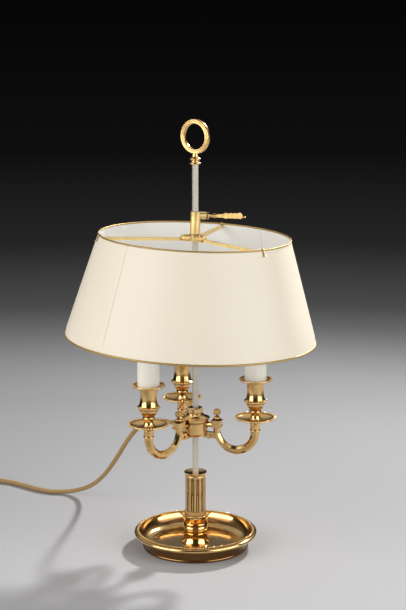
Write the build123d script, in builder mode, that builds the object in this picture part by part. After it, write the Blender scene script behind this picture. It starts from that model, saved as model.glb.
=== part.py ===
"""Bouillotte lamp: a brass dish foot and fluted column, a square stem with a lifting ring,
a bracket with three candle lights, and a sheet-metal shade that slides on the stem.

Millimetres. +Z is up, the origin is the middle of the felt that the lamp stands on, the
key of the shade clamp points along +X, and one candle arm points along +Y.
"""

from build123d import *
from math import asin, atan2, cos, degrees, hypot, pi, radians, sin, sqrt, tan
import os

os.makedirs("parts", exist_ok=True)

# ---------------------------------------------------------------- fits
SEAT_GAP = 0.05  # between pieces that sit in or on each other
RUN_CLEARANCE = 0.05  # round a shaft, screw or pin that turns
TINY_EDGE = 0.4  # breaks a sharp cast edge

# ---------------------------------------------------------------- dish foot
FOOT_R = 78.0  # circle that stands on the table
FOOT_BEAD_H = 4.2  # half-round bead round the foot
FOOT_BEAD_OUT = 1.1
RIM_R = 92.0  # outside of the rolled rim
RIM_TOP_Z = 25.2
RIM_ROLL_H = 6.0
RIM_ROLL_IN = 2.6  # how far the roll curves inwards at its top and bottom
LIP_R = 84.2  # inside edge of the rim
NECK_R = 83.2  # outer wall, just under the rim
BEAD_ROW_R = 86.0  # circle of the beaded wire on the rim
RIM_BEAD_D = 2.6
FLOOR_R = 63.0  # where the floor turns up into the wall
FLOOR_Z = 6.6
SHELL_T = 1.6
FELT_T = 1.2
WEIGHT_R = 66.0
WASHER_R = 9.0
WASHER_T = 0.8
NUT_AF = 10.0
NUT_H = 2.6
STEM_THREAD_R = 3.0

# ---------------------------------------------------------------- column
PEDESTAL_H = 40.2
PEDESTAL_FOOT_R = 21.0
PEDESTAL_WAIST_R = 16.9
DRUM_R = 18.1
DRUM_H = 8.8
STEP_H = 4.4  # between the drum and the torus below it
FILLET_H = 3.4  # narrow band under the torus
TORUS_R = 18.8
TORUS_H = 6.8
BEAD_RING_H = 2.4
BEAD_RING_R = 15.4
BAND_R = 15.6
BAND_H = 8.3
COLUMN_R = 15.0
COLUMN_H = 61.3
COLUMN_BORE_R = 9.0
FLUTES = 12
FLUTE_LENGTH = 50.7
FLUTE_R = 2.5
FLUTE_DEPTH = 1.8
CABLE_R = 1.5  # rod that fills the lower half of each flute
CABLE_INSET = 0.2
CABLE_LENGTH = 25.0
CAP_H = 5.3
CAP_R = 16.9

# ---------------------------------------------------------------- stem and ring
STEM_SIZE = 7.4  # across the flats of the square bar
STEM_LENGTH = 568.8  # from the dish floor to the ring finial
SPIGOT_R = 2.5
SPIGOT_L = 9.0
FINIAL_H = 15.0
FINIAL_DISC_R = 8.4
FINIAL_RING_R = 8.0
FINIAL_NECK_R = 4.3
RING_R = 24.8  # outside
RING_RADIAL = 6.6
RING_WIDTH = 8.0
RING_AZ = -50.0  # direction of the ring's own plane

# ---------------------------------------------------------------- bracket
BRACKET_Z = 170.6  # underside of the hub
HUB_R = 18.4
HUB_FOOT_R = 8.4
HUB_H = 24.7
HUB_CURVE_H = 8.0
HUB_STEP_H = 0.9
HUB_WALL = 2.0
HUB_FLOOR = 6.0
COVER_R = 21.3
COVER_FLANGE_H = 4.2
COVER_DOME_H = 6.7
COVER_LIP_R = 0.8  # the flange's top edge stands out by this
COVER_SPIGOT_H = 1.2
CROWN_AF = 21.0
CROWN_H = 8.8
CROWN_CUP_R = 8.2
CROWN_CUP_DEPTH = 6.0
SET_SCREW_R = 2.0
SET_SCREW_AZ = 180.0
TERMINAL_SIZE = (5.5, 15.0, 10.0)
TERMINAL_AZ = -90.0

# ---------------------------------------------------------------- arms
ARM_AZIMUTHS = (90.0, 210.0, 330.0)
ARM_ROOT_R = 33.3  # centre of the root block
ARM_CIRCLE_R = 91.7  # centre of the candle
ARM_CURVE_Z = 184.0  # height of the centre of the U
ARM_END_Z = 186.0
ARM_START_AF = 9.4  # octagonal section at the root block
ARM_END_AF = 12.6  # and under the collar
BLOCK_Z = 187.6
BLOCK_H = 10.5
BLOCK_W = 13.4
BLOCK_PLATE_W = 15.0
BLOCK_PLATE_H = 2.2
BLOCK_CHAMFER = 1.0
TENON_R = 4.0
TENON_Z = 190.3
PIP_R = 1.8
SCROLL_R = 3.6  # small volute where the arm's gusset leaves the foot of the hub
SCROLL_T = 7.5
SCROLL_CENTRE_R = 21.4  # from the lamp's axis
SCROLL_DROP_H = 25.5  # below the top of the root block
GUSSET_T = 5.0
GUSSET_H = 8.6
GUSSET_FALL_H = 1.4  # its lower edge drops this much towards the arm
KNOB_H = 18.0
KNOB_RING_R = 5.0
KNOB_BALL_R = 5.0
KNOB_NECK_R = 2.4

# ---------------------------------------------------------------- candle stack
NIPPLE_R = 4.0
NIPPLE_BORE_R = 2.7
NIPPLE_DEPTH = 9.0  # into the arm
COLLAR_H = 15.2
COLLAR_TOP_R = 9.5
COLLAR_R = 7.3
COLLAR_BEAD_OUT = 1.2
PAN_R = 29.0
PAN_RISE = 4.4
PAN_T = 1.2
PAN_FLAT_R = 15.0
PAN_BEAD_R = 1.0
CUP_H = 61.0
CUP_FOOT_R = 9.0
CUP_NECK_R = 6.8
CUP_RIDGE_R = 16.3
CUP_RIDGE_H = 31.5
CUP_WAIST_R = 12.2
CUP_MOUTH_R = 13.5
CUP_RIM_R = 24.4
CUP_RIM_T = 1.3
CUP_BEAD_R = 1.1
CANDLE_R = 16.0
CANDLE_WALL = 1.2
CANDLE_H = 78.4
HOLDER_R = 13.8
HOLDER_BODY_H = 30.0
HOLDER_LIP_R = 15.5
HOLDER_LIP_H = 4.0
HOLDER_BASE_T = 2.0
HOLDER_STEM_R = 7.0
HOLDER_THREAD_H = 8.0  # how far the threaded tube reaches up inside
BULB_CAP_R = 11.0
BULB_CAP_IN = 13.0  # how far the cap sits in the holder
BULB_R = 17.5
BULB_H = 78.0

# ---------------------------------------------------------------- shade and clamp
SLEEVE_LENGTH = 38.6
SLEEVE_WALL = 1.4
SLEEVE_SLACK = 0.92  # sideways play of the square stem in the round sleeve
SLEEVE_TOUCH = 0.08  # what is left of that play where sleeve and stem meet
SLEEVE_SEAT = 4.0  # how deep the sleeve stands in the rosette
CARRIER_Z = 487.3  # middle of the sleeve, with the shade at its usual height
BOSS_R = 5.6
BOSS_L = 15.6  # from the sleeve's axis
KEY_HEIGHT = 13.6  # above the middle of the sleeve
KEY_THREAD_R = 2.5
PAD_R = 2.2
PAD_T = 1.5
PAD_GAP = 0.1
FLANGE_R = 5.4
FLANGE_T = 2.0
FLANGE_GAP = 1.1  # key flange to boss
KEY_SHANK_L = 29.8  # from the sleeve's axis
KEY_GRIP_L = 38.0
KEY_TIP_L = 5.6
KEY_TIP_DROP_H = 1.6
KEY_GRIP_T = 3.2
KEY_GRIP_ROOT_H = 2.1  # half the height of the leaf, without its scallops
KEY_GRIP_END_H = 3.9
SCALLOP_OUT = 1.0
KEY_STEM_R = 2.2
KEY_SOCKET = 4.0
KEY_TIP_R = 1.2
SCALLOPS = 4
ROSETTE_T = 7.5
ROSETTE_BOSS_R = 10.0
LOBE_R = 8.6
LOBE_CENTRE_R = 11.6
COLLAR_RING_R = 8.6  # low ring round the foot of the sleeve
COLLAR_RING_H = 1.4
SPIDER_AZIMUTHS = (180.0, 60.0, -60.0)
BAR_W = 5.0
BAR_H = 4.2
SHADE_TOP_R = 139.3  # centre of the wire in the top edge
TOP_WIRE_R = 1.2
TOP_WIRE_DROP_H = 16.5  # top wire below the middle of the sleeve
SHADE_CONE_H = 139.8  # top wire down to the turn of the lip
SHADE_CONE_R = 181.0
SHADE_LIP_H = 9.6  # turn of the lip down to the rolled edge
SHADE_LIP_OUT = 1.8  # from there out to the centre of the rolled edge
LIP_WIRE_R = 1.5
SHADE_T = 0.8
HOOK_W = 1.8
HOOK_T = 1.2
HOOK_LEG_L = 7.5

# ---------------------------------------------------------------- flex
CORD_D = 7.0
GLAND_AZ = 130.0
GLAND_Z = 184.0
GLAND_L = 23.6
GLAND_FLANGE_R = 6.6
GLAND_FLANGE_T = 2.4
GLAND_TIP_R = 4.3
GLAND_HOLE_R = 4.2
SWITCH_W = 25.0
SWITCH_H = 17.0
ROCKER_L = 20.0
ROCKER_W = 10.4
ROCKER_KEEL = 3.5
ROCKER_AXIS_Z = 12.0
ROCKER_GAP = 0.4
ROCKER_THROW = 16.0  # degrees from one end down to the other
ROCKER_PIN_R = 1.2
LAY_AZ = 167.0  # the switch, the coil's near side and the plug lie along this line
COIL_TURN_R = 45.5  # outermost turn
COIL_BUNDLE = 14.0  # two turns wide and two high
COIL_GAP = 0.25  # to the straight pieces that run up to it
PLUG_L = 36.0
PLUG_W = 35.3
PLUG_T = 13.7
PLUG_RELIEF_L = 22.0
PLUG_RELIEF_R = 4.4
PIN_R = 2.0
PIN_L = 19.0
PIN_PITCH = 18.6

# The flex's corner points, chosen by hand. The first is the tip of the gland and the last
# is the end of the switch; the tail runs from the other end of the switch to the coil.
LEAD_ROUTE = [
    (-27.0, 32.2, 184.0),
    (-45.1, 53.5, 184.0),
    (-64.8, 92.9, 168.0),
    (-78.1, 133.0, 132.0),
    (-89.9, 170.6, 90.0),
    (-102.8, 212.6, 50.0),
    (-119.6, 255.5, 19.0),
    (-146.7, 284.8, 4.5),
    (-179.7, 292.9, 3.6),
    (-205.0, 321.3, 3.5),
    (-229.1, 354.6, 3.5),
    (-251.0, 371.0, 3.9),
    (-265.3, 375.4, 6.0),
    (-278.9, 378.5, 6.0),
]
TAIL_ROUTE = [
    (-337.4, 392.0, 6.0),
    (-351.0, 395.2, 6.0),
    (-365.1, 398.5, 3.5),
]

# ---------------------------------------------------------------- heights worked out
STEM_TOP_Z = FLOOR_Z + STEM_LENGTH
RING_Z = STEM_TOP_Z + FINIAL_H + RING_R
COVER_Z = BRACKET_Z + HUB_H
CROWN_Z = COVER_Z + COVER_FLANGE_H + COVER_DOME_H
PAN_Z = ARM_END_Z + COLLAR_H
CUP_Z = PAN_Z + PAN_T
CANDLE_Z = CUP_Z + CUP_H

# The sleeve's play lets the whole shade lean until the stem touches it at both ends.
stem_half = STEM_SIZE / 2
sleeve_bore_r = hypot(stem_half + SLEEVE_SLACK, stem_half)
sleeve_r = sleeve_bore_r + SLEEVE_WALL
LEAN = degrees(atan2(2 * (SLEEVE_SLACK - SLEEVE_TOUCH), SLEEVE_LENGTH))


# ---------------------------------------------------------------- places
def upright_plane(azimuth, radius=0.0, height=0.0):
    """Vertical plane: local x points away from the lamp's axis, local y points up."""
    out = Vector(1, 0, 0).rotate(Axis.Z, azimuth)
    origin = out * radius + Vector(0, 0, height)
    return Plane(origin=origin, x_dir=out, z_dir=out.cross(Vector(0, 0, 1)))


def spin_axis(section):
    """Axis that a half section drawn on this plane is turned round."""
    return Axis(section.origin, section.y_dir)


carrier_up = Vector(0, 0, 1).rotate(Axis.Y, LEAN)
carrier_out = Vector(1, 0, 0).rotate(Axis.Y, LEAN)
carrier_at = Vector(0, 0, CARRIER_Z)
carrier = Plane(origin=carrier_at, x_dir=carrier_out, z_dir=carrier_up)


def carrier_plane(azimuth=0.0, radius=0.0, height=0.0):
    """As upright_plane, round the leaning axis of the shade and its sleeve."""
    out = carrier_out.rotate(Axis(carrier_at, carrier_up), azimuth)
    origin = carrier_at + out * radius + carrier_up * height
    return Plane(origin=origin, x_dir=out, z_dir=out.cross(carrier_up))


def keep(part, name):
    """Label a finished piece and write it."""
    part.label = name
    export_step(part, f"parts/{name}.step")


# ---------------------------------------------------------------- dish foot
def make_base():
    wall_rise = RIM_TOP_Z - FLOOR_Z
    wall_run = LIP_R - FLOOR_R
    wall_turn = 2 * degrees(atan2(wall_rise, wall_run))
    wall_r = (wall_rise**2 + wall_run**2) / (2 * wall_rise)
    under_r = wall_r + SHELL_T
    under_turn = degrees(asin((FOOT_R - FLOOR_R) / under_r))
    hole_r = STEM_THREAD_R + SEAT_GAP
    groove = RIM_BEAD_D / 2 + SEAT_GAP
    with BuildPart() as dish:
        with BuildSketch(Plane.XZ):
            with BuildLine():
                floor = Line((hole_r, FLOOR_Z), (FLOOR_R, FLOOR_Z))
                wall = JernArc(floor @ 1, (1, 0), wall_r, wall_turn)
                land = Line(wall @ 1, (RIM_R - RIM_ROLL_IN, RIM_TOP_Z))
                roll = ThreePointArc(
                    land @ 1,
                    (RIM_R, RIM_TOP_Z - RIM_ROLL_H / 2),
                    (RIM_R - RIM_ROLL_IN, RIM_TOP_Z - RIM_ROLL_H),
                )
                under_rim = Line(roll @ 1, (NECK_R, RIM_TOP_Z - RIM_ROLL_H - SHELL_T / 2))
                outer = SagittaArc(under_rim @ 1, (FOOT_R, FOOT_BEAD_H), -SHELL_T / 2)
                foot_bead = SagittaArc(outer @ 1, (FOOT_R, 0), FOOT_BEAD_OUT)
                foot_in = FOOT_R - 1.5 * SHELL_T
                sole = Polyline(foot_bead @ 1, (foot_in, 0), (foot_in, FOOT_BEAD_H))
                under = JernArc((FLOOR_R, FLOOR_Z - SHELL_T), (1, 0), under_r, under_turn)
                Line(sole @ 1, under @ 1)
                Polyline(under @ 0, (hole_r, FLOOR_Z - SHELL_T), floor @ 0)
            make_face()
            with Locations((BEAD_ROW_R, RIM_TOP_Z)):
                Rectangle(2 * groove, 2 * groove, mode=Mode.SUBTRACT)
        revolve(axis=Axis.Z)
    keep(dish.part, "base_dish")

    with BuildPart() as border:
        with BuildSketch(Plane.XZ):
            with Locations((BEAD_ROW_R, RIM_TOP_Z)):
                Circle(RIM_BEAD_D / 2 - SEAT_GAP)
        revolve(axis=Axis.Z)
    keep(border.part, "base_bead_border")

    weight_h = FLOOR_Z - SHELL_T - FELT_T
    with BuildPart() as weight:
        with BuildSketch(Plane.XY.offset(FELT_T)):
            Circle(WEIGHT_R)
            Circle(WASHER_R + TINY_EDGE, mode=Mode.SUBTRACT)
        extrude(amount=weight_h - SEAT_GAP)
    keep(weight.part, "base_weight")

    with BuildPart() as felt:
        with BuildSketch():
            Circle(FOOT_R - 1.5 * SHELL_T - TINY_EDGE)
        extrude(amount=FELT_T - SEAT_GAP)
    keep(felt.part, "base_felt")

    with BuildPart() as washer:
        with BuildSketch(Plane.XY.offset(FLOOR_Z - SHELL_T - WASHER_T)):
            Circle(WASHER_R)
            Circle(hole_r, mode=Mode.SUBTRACT)
        extrude(amount=WASHER_T)
    keep(washer.part, "stem_washer")

    with BuildPart() as nut:
        with BuildSketch(Plane.XY.offset(FLOOR_Z - SHELL_T - WASHER_T - NUT_H)):
            RegularPolygon(NUT_AF / 2, 6, major_radius=False)
            Circle(hole_r, mode=Mode.SUBTRACT)
        extrude(amount=NUT_H)
    keep(nut.part, "stem_nut")


# ---------------------------------------------------------------- column
def make_column():
    foot = upright_plane(0, 0, FLOOR_Z)
    torus_z = PEDESTAL_H - DRUM_H - STEP_H - TORUS_H
    torus_top = torus_z + TORUS_H
    torus_in_r = PEDESTAL_WAIST_R + TINY_EDGE
    with BuildPart() as pedestal:
        with BuildSketch(foot):
            with BuildLine():
                base = Polyline((COLUMN_BORE_R, 0), (PEDESTAL_FOOT_R, 0), (PEDESTAL_FOOT_R, 1.4))
                bell = SagittaArc(base @ 1, (PEDESTAL_WAIST_R, torus_z - FILLET_H), 0.1 * PEDESTAL_WAIST_R)
                band = Polyline(
                    bell @ 1,
                    (PEDESTAL_WAIST_R + 2 * TINY_EDGE, torus_z - FILLET_H + TINY_EDGE),
                    (PEDESTAL_WAIST_R + 2 * TINY_EDGE, torus_z - TINY_EDGE),
                    (torus_in_r, torus_z),
                )
                torus = ThreePointArc(band @ 1, (TORUS_R, torus_z + TORUS_H / 2), (torus_in_r, torus_top))
                step = Polyline(
                    torus @ 1,
                    (torus_in_r, torus_top + 0.2 * STEP_H),
                    (DRUM_R + TINY_EDGE, torus_top + 0.4 * STEP_H),
                    (DRUM_R + TINY_EDGE, torus_top + 0.8 * STEP_H),
                    (DRUM_R, torus_top + STEP_H),
                    (DRUM_R, PEDESTAL_H - 2 * TINY_EDGE),
                    (DRUM_R - 2 * TINY_EDGE, PEDESTAL_H),
                    (COLUMN_BORE_R, PEDESTAL_H),
                )
                Line(step @ 1, base @ 0)
            make_face()
        revolve(axis=spin_axis(foot))
    keep(pedestal.part, "pedestal")

    ring_z = FLOOR_Z + PEDESTAL_H
    with BuildPart() as bead_ring:
        with BuildSketch(Plane.XZ):
            with BuildLine():
                inside = Polyline(
                    (BEAD_RING_R, ring_z + BEAD_RING_H),
                    (COLUMN_BORE_R, ring_z + BEAD_RING_H),
                    (COLUMN_BORE_R, ring_z),
                    (BEAD_RING_R, ring_z),
                )
                SagittaArc(inside @ 1, inside @ 0, -BEAD_RING_H / 2)
            make_face()
        revolve(axis=Axis.Z)
    keep(bead_ring.part, "column_bead_ring")

    shaft_z = ring_z + BEAD_RING_H
    flute_z = shaft_z + BAND_H + FLUTE_R
    flute_top = flute_z + FLUTE_LENGTH - 2 * FLUTE_R
    flute_centre_r = COLUMN_R + FLUTE_R - FLUTE_DEPTH
    with BuildPart() as column:
        with BuildSketch(Plane.XY.offset(shaft_z)):
            Circle(BAND_R)
        extrude(amount=BAND_H - 1)
        with BuildSketch(Plane.XY.offset(shaft_z + BAND_H - 1)):
            Circle(COLUMN_R)
        extrude(amount=COLUMN_H - BAND_H + 1)
        with BuildSketch(Plane.XY.offset(flute_z)):
            with PolarLocations(flute_centre_r, FLUTES):
                Circle(FLUTE_R)
        extrude(amount=flute_top - flute_z, mode=Mode.SUBTRACT)
        for end_z in (flute_z, flute_top):
            with Locations(Plane.XY.offset(end_z)):
                with PolarLocations(flute_centre_r, FLUTES):
                    Sphere(FLUTE_R, mode=Mode.SUBTRACT)
        with BuildSketch(Plane.XY.offset(shaft_z + BAND_H)):
            with PolarLocations(COLUMN_R - CABLE_R - CABLE_INSET, FLUTES):
                Circle(CABLE_R)
        extrude(amount=CABLE_LENGTH)
        with BuildSketch(Plane.XY.offset(shaft_z)):
            Circle(COLUMN_BORE_R)
        extrude(amount=COLUMN_H, mode=Mode.SUBTRACT)
    keep(column.part, "fluted_column")

    cap_z = shaft_z + COLUMN_H
    cap_section = upright_plane(0, 0, cap_z)
    with BuildPart() as cap:
        with BuildSketch(cap_section):
            with BuildLine():
                under = Polyline((0, CAP_H - 1), (0, 0), (COLUMN_R, 0))
                flare = SagittaArc(under @ 1, (CAP_R - TINY_EDGE, 0.7 * CAP_H), 2 * TINY_EDGE)
                edge = Polyline(flare @ 1, (CAP_R, 0.75 * CAP_H), (CAP_R, CAP_H), (0.9 * CAP_R, CAP_H))
                SagittaArc(edge @ 1, under @ 0, TINY_EDGE)
            make_face()
        revolve(axis=spin_axis(cap_section))
        extrude(stem_hole(cap_z), amount=CAP_H, mode=Mode.SUBTRACT)
    keep(cap.part, "column_cap")


# ---------------------------------------------------------------- stem and ring
def make_stem():
    with BuildPart() as stem:
        with BuildSketch(Plane.XY.offset(FLOOR_Z)):
            Rectangle(STEM_SIZE, STEM_SIZE)
        extrude(amount=STEM_LENGTH)
        with BuildSketch(Plane.XY.offset(FLOOR_Z)):
            Circle(STEM_THREAD_R)
        extrude(amount=FELT_T + SEAT_GAP - FLOOR_Z)
        with BuildSketch(Plane.XY.offset(STEM_TOP_Z)):
            Circle(SPIGOT_R)
        extrude(amount=SPIGOT_L)
    keep(stem.part, "stem")

    seat = upright_plane(0, 0, STEM_TOP_Z)
    ring_side = upright_plane(RING_AZ)
    mid_r = RING_R - RING_RADIAL / 2
    with BuildPart() as finial:
        with BuildSketch(seat):
            with BuildLine():
                disc = Polyline(
                    (0, 0),
                    (FINIAL_DISC_R, 0),
                    (FINIAL_DISC_R, 0.13 * FINIAL_H),
                    (FINIAL_DISC_R - TINY_EDGE, 0.18 * FINIAL_H),
                )
                waist_top = (FINIAL_RING_R - TINY_EDGE, 0.48 * FINIAL_H)
                waist = SagittaArc(disc @ 1, waist_top, 0.2 * FINIAL_DISC_R)
                upper = Polyline(
                    waist @ 1,
                    (FINIAL_RING_R, 0.51 * FINIAL_H),
                    (FINIAL_RING_R, 0.62 * FINIAL_H),
                    (FINIAL_RING_R - 3 * TINY_EDGE, 0.67 * FINIAL_H),
                )
                top_z = FINIAL_H + RING_RADIAL / 6
                neck = SagittaArc(upper @ 1, (FINIAL_NECK_R, top_z), 0.3 * FINIAL_NECK_R)
                Polyline(neck @ 1, (0, top_z), (0, 0))
            make_face()
        revolve(axis=spin_axis(seat))
        with BuildSketch(Plane(origin=(0, 0, RING_Z), x_dir=ring_side.x_dir)):
            with Locations((mid_r, 0)):
                Ellipse(RING_RADIAL / 2, RING_WIDTH / 2)
        revolve(axis=Axis((0, 0, RING_Z), ring_side.z_dir))
        with BuildSketch(Plane.XY.offset(STEM_TOP_Z)):
            Circle(SPIGOT_R + SEAT_GAP)
        extrude(amount=SPIGOT_L + SEAT_GAP, mode=Mode.SUBTRACT)
    keep(finial.part, "ring_finial")


# ---------------------------------------------------------------- bracket
def hub_outline(grow=0.0):
    """Half section of the hub's outside, made larger by a clearance."""
    with BuildSketch(upright_plane(0, 0, BRACKET_Z)) as outline:
        with BuildLine():
            foot = Polyline((0, HUB_H), (0, 0), (HUB_FOOT_R, 0), (HUB_FOOT_R, HUB_STEP_H))
            step = Line(foot @ 1, (1.4 * HUB_FOOT_R, HUB_STEP_H))
            curve = SagittaArc(step @ 1, (HUB_R, HUB_CURVE_H), -0.18 * HUB_CURVE_H)
            Polyline(curve @ 1, (HUB_R, HUB_H), foot @ 0)
        make_face()
        if grow:
            offset(amount=grow, kind=Kind.INTERSECTION)
            with Locations((-HUB_R, 0)):
                Rectangle(2 * HUB_R, 4 * HUB_H, mode=Mode.SUBTRACT)
    return outline.sketch


def radial_plane(azimuth, radius, height):
    """Plane square to a level line out from the lamp's axis, facing outwards."""
    side = upright_plane(azimuth, radius, height)
    return Plane(origin=side.origin, x_dir=side.z_dir, z_dir=side.x_dir)


def stem_hole(height):
    """Square that clears the stem, at a height."""
    with BuildSketch(Plane.XY.offset(height)) as hole:
        Rectangle(STEM_SIZE + 2 * SEAT_GAP, STEM_SIZE + 2 * SEAT_GAP)
    return hole.sketch


def make_bracket():
    with BuildPart() as hub:
        revolve(hub_outline(), axis=Axis.Z)
        with BuildSketch(Plane.XY.offset(BRACKET_Z + HUB_FLOOR)):
            Circle(HUB_R - HUB_WALL)
        extrude(amount=HUB_H, mode=Mode.SUBTRACT)
        extrude(stem_hole(BRACKET_Z), amount=HUB_H, mode=Mode.SUBTRACT)
        for azimuth in ARM_AZIMUTHS:
            with BuildSketch(radial_plane(azimuth, 0, TENON_Z)):
                Circle(TENON_R + SEAT_GAP)
            extrude(amount=2 * HUB_R, mode=Mode.SUBTRACT)
        with BuildSketch(radial_plane(GLAND_AZ, 0, GLAND_Z)):
            Circle(GLAND_HOLE_R)
        extrude(amount=2 * HUB_R, mode=Mode.SUBTRACT)
        with BuildSketch(radial_plane(SET_SCREW_AZ, 0, BRACKET_Z + HUB_FLOOR / 2)):
            Circle(SET_SCREW_R + SEAT_GAP)
        extrude(amount=2 * HUB_R, mode=Mode.SUBTRACT)
    keep(hub.part, "bracket_hub")

    with BuildPart() as cover:
        with BuildSketch(upright_plane(0, 0, COVER_Z)):
            with BuildLine():
                spigot_r = HUB_R - HUB_WALL - SEAT_GAP
                under_r = COVER_R - COVER_LIP_R
                spigot = Polyline((0, -COVER_SPIGOT_H), (spigot_r, -COVER_SPIGOT_H), (spigot_r, 0))
                lower = Polyline(
                    spigot @ 1,
                    (under_r, 0),
                    (under_r, 0.4 * COVER_FLANGE_H),
                    (COVER_R, 0.5 * COVER_FLANGE_H),
                    (COVER_R, COVER_FLANGE_H),
                )
                dome_top = COVER_FLANGE_H + COVER_DOME_H
                dome = SagittaArc(lower @ 1, (0.55 * CROWN_AF, dome_top), 0.25 * COVER_DOME_H)
                Polyline(dome @ 1, (0, dome_top), spigot @ 0)
            make_face()
        revolve(axis=Axis.Z)
        extrude(stem_hole(COVER_Z), amount=COVER_R, both=True, mode=Mode.SUBTRACT)
    keep(cover.part, "bracket_cover")

    with BuildPart() as crown:
        with BuildSketch(Plane.XY.offset(CROWN_Z)):
            RegularPolygon(CROWN_AF / 2, 8, major_radius=False, rotation=22.5)
        extrude(amount=CROWN_H)
        chamfer(crown.faces().sort_by(Axis.Z)[-1].edges(), 1.0)
        with BuildSketch(Plane.XY.offset(CROWN_Z + CROWN_H - CROWN_CUP_DEPTH)):
            Circle(CROWN_CUP_R)
        extrude(amount=CROWN_CUP_DEPTH, mode=Mode.SUBTRACT)
        extrude(stem_hole(CROWN_Z), amount=CROWN_H, mode=Mode.SUBTRACT)
    keep(crown.part, "bracket_crown")

    with BuildPart() as grub:
        with BuildSketch(radial_plane(SET_SCREW_AZ, stem_half + SEAT_GAP, BRACKET_Z + HUB_FLOOR / 2)):
            Circle(SET_SCREW_R)
        extrude(amount=HUB_FOOT_R)
        with BuildSketch(radial_plane(SET_SCREW_AZ, HUB_FOOT_R + stem_half, BRACKET_Z + HUB_FLOOR / 2)):
            RegularPolygon(SET_SCREW_R / 2, 6, major_radius=False)
        extrude(amount=-SET_SCREW_R, mode=Mode.SUBTRACT)
    keep(grub.part, "hub_set_screw")

    block_t, block_w, block_h = TERMINAL_SIZE
    with BuildPart() as terminal:
        with BuildSketch(radial_plane(TERMINAL_AZ, stem_half + 1, BRACKET_Z + HUB_FLOOR + block_h / 2)):
            Rectangle(block_w, block_h)
        extrude(amount=block_t)
    keep(terminal.part, "terminal_block")

    gland_axis = Axis((0, 0, GLAND_Z), upright_plane(GLAND_AZ).x_dir)
    with BuildPart() as gland:
        with BuildSketch(upright_plane(GLAND_AZ, HUB_R, GLAND_Z)):
            with BuildLine():
                spigot_r = GLAND_HOLE_R - SEAT_GAP
                spigot = Polyline((-HUB_WALL, 0), (-HUB_WALL, spigot_r), (0, spigot_r))
                flange = Polyline(
                    spigot @ 1,
                    (SEAT_GAP, GLAND_FLANGE_R),
                    (GLAND_FLANGE_T, GLAND_FLANGE_R),
                    (GLAND_FLANGE_T + 1, GLAND_FLANGE_R - 1),
                )
                body = Polyline(flange @ 1, (GLAND_L - 1, GLAND_TIP_R), (GLAND_L, GLAND_TIP_R - TINY_EDGE))
                Polyline(body @ 1, (GLAND_L, 0), spigot @ 0)
            make_face()
        revolve(axis=gland_axis)
    keep(gland.part, "cord_gland")


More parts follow.
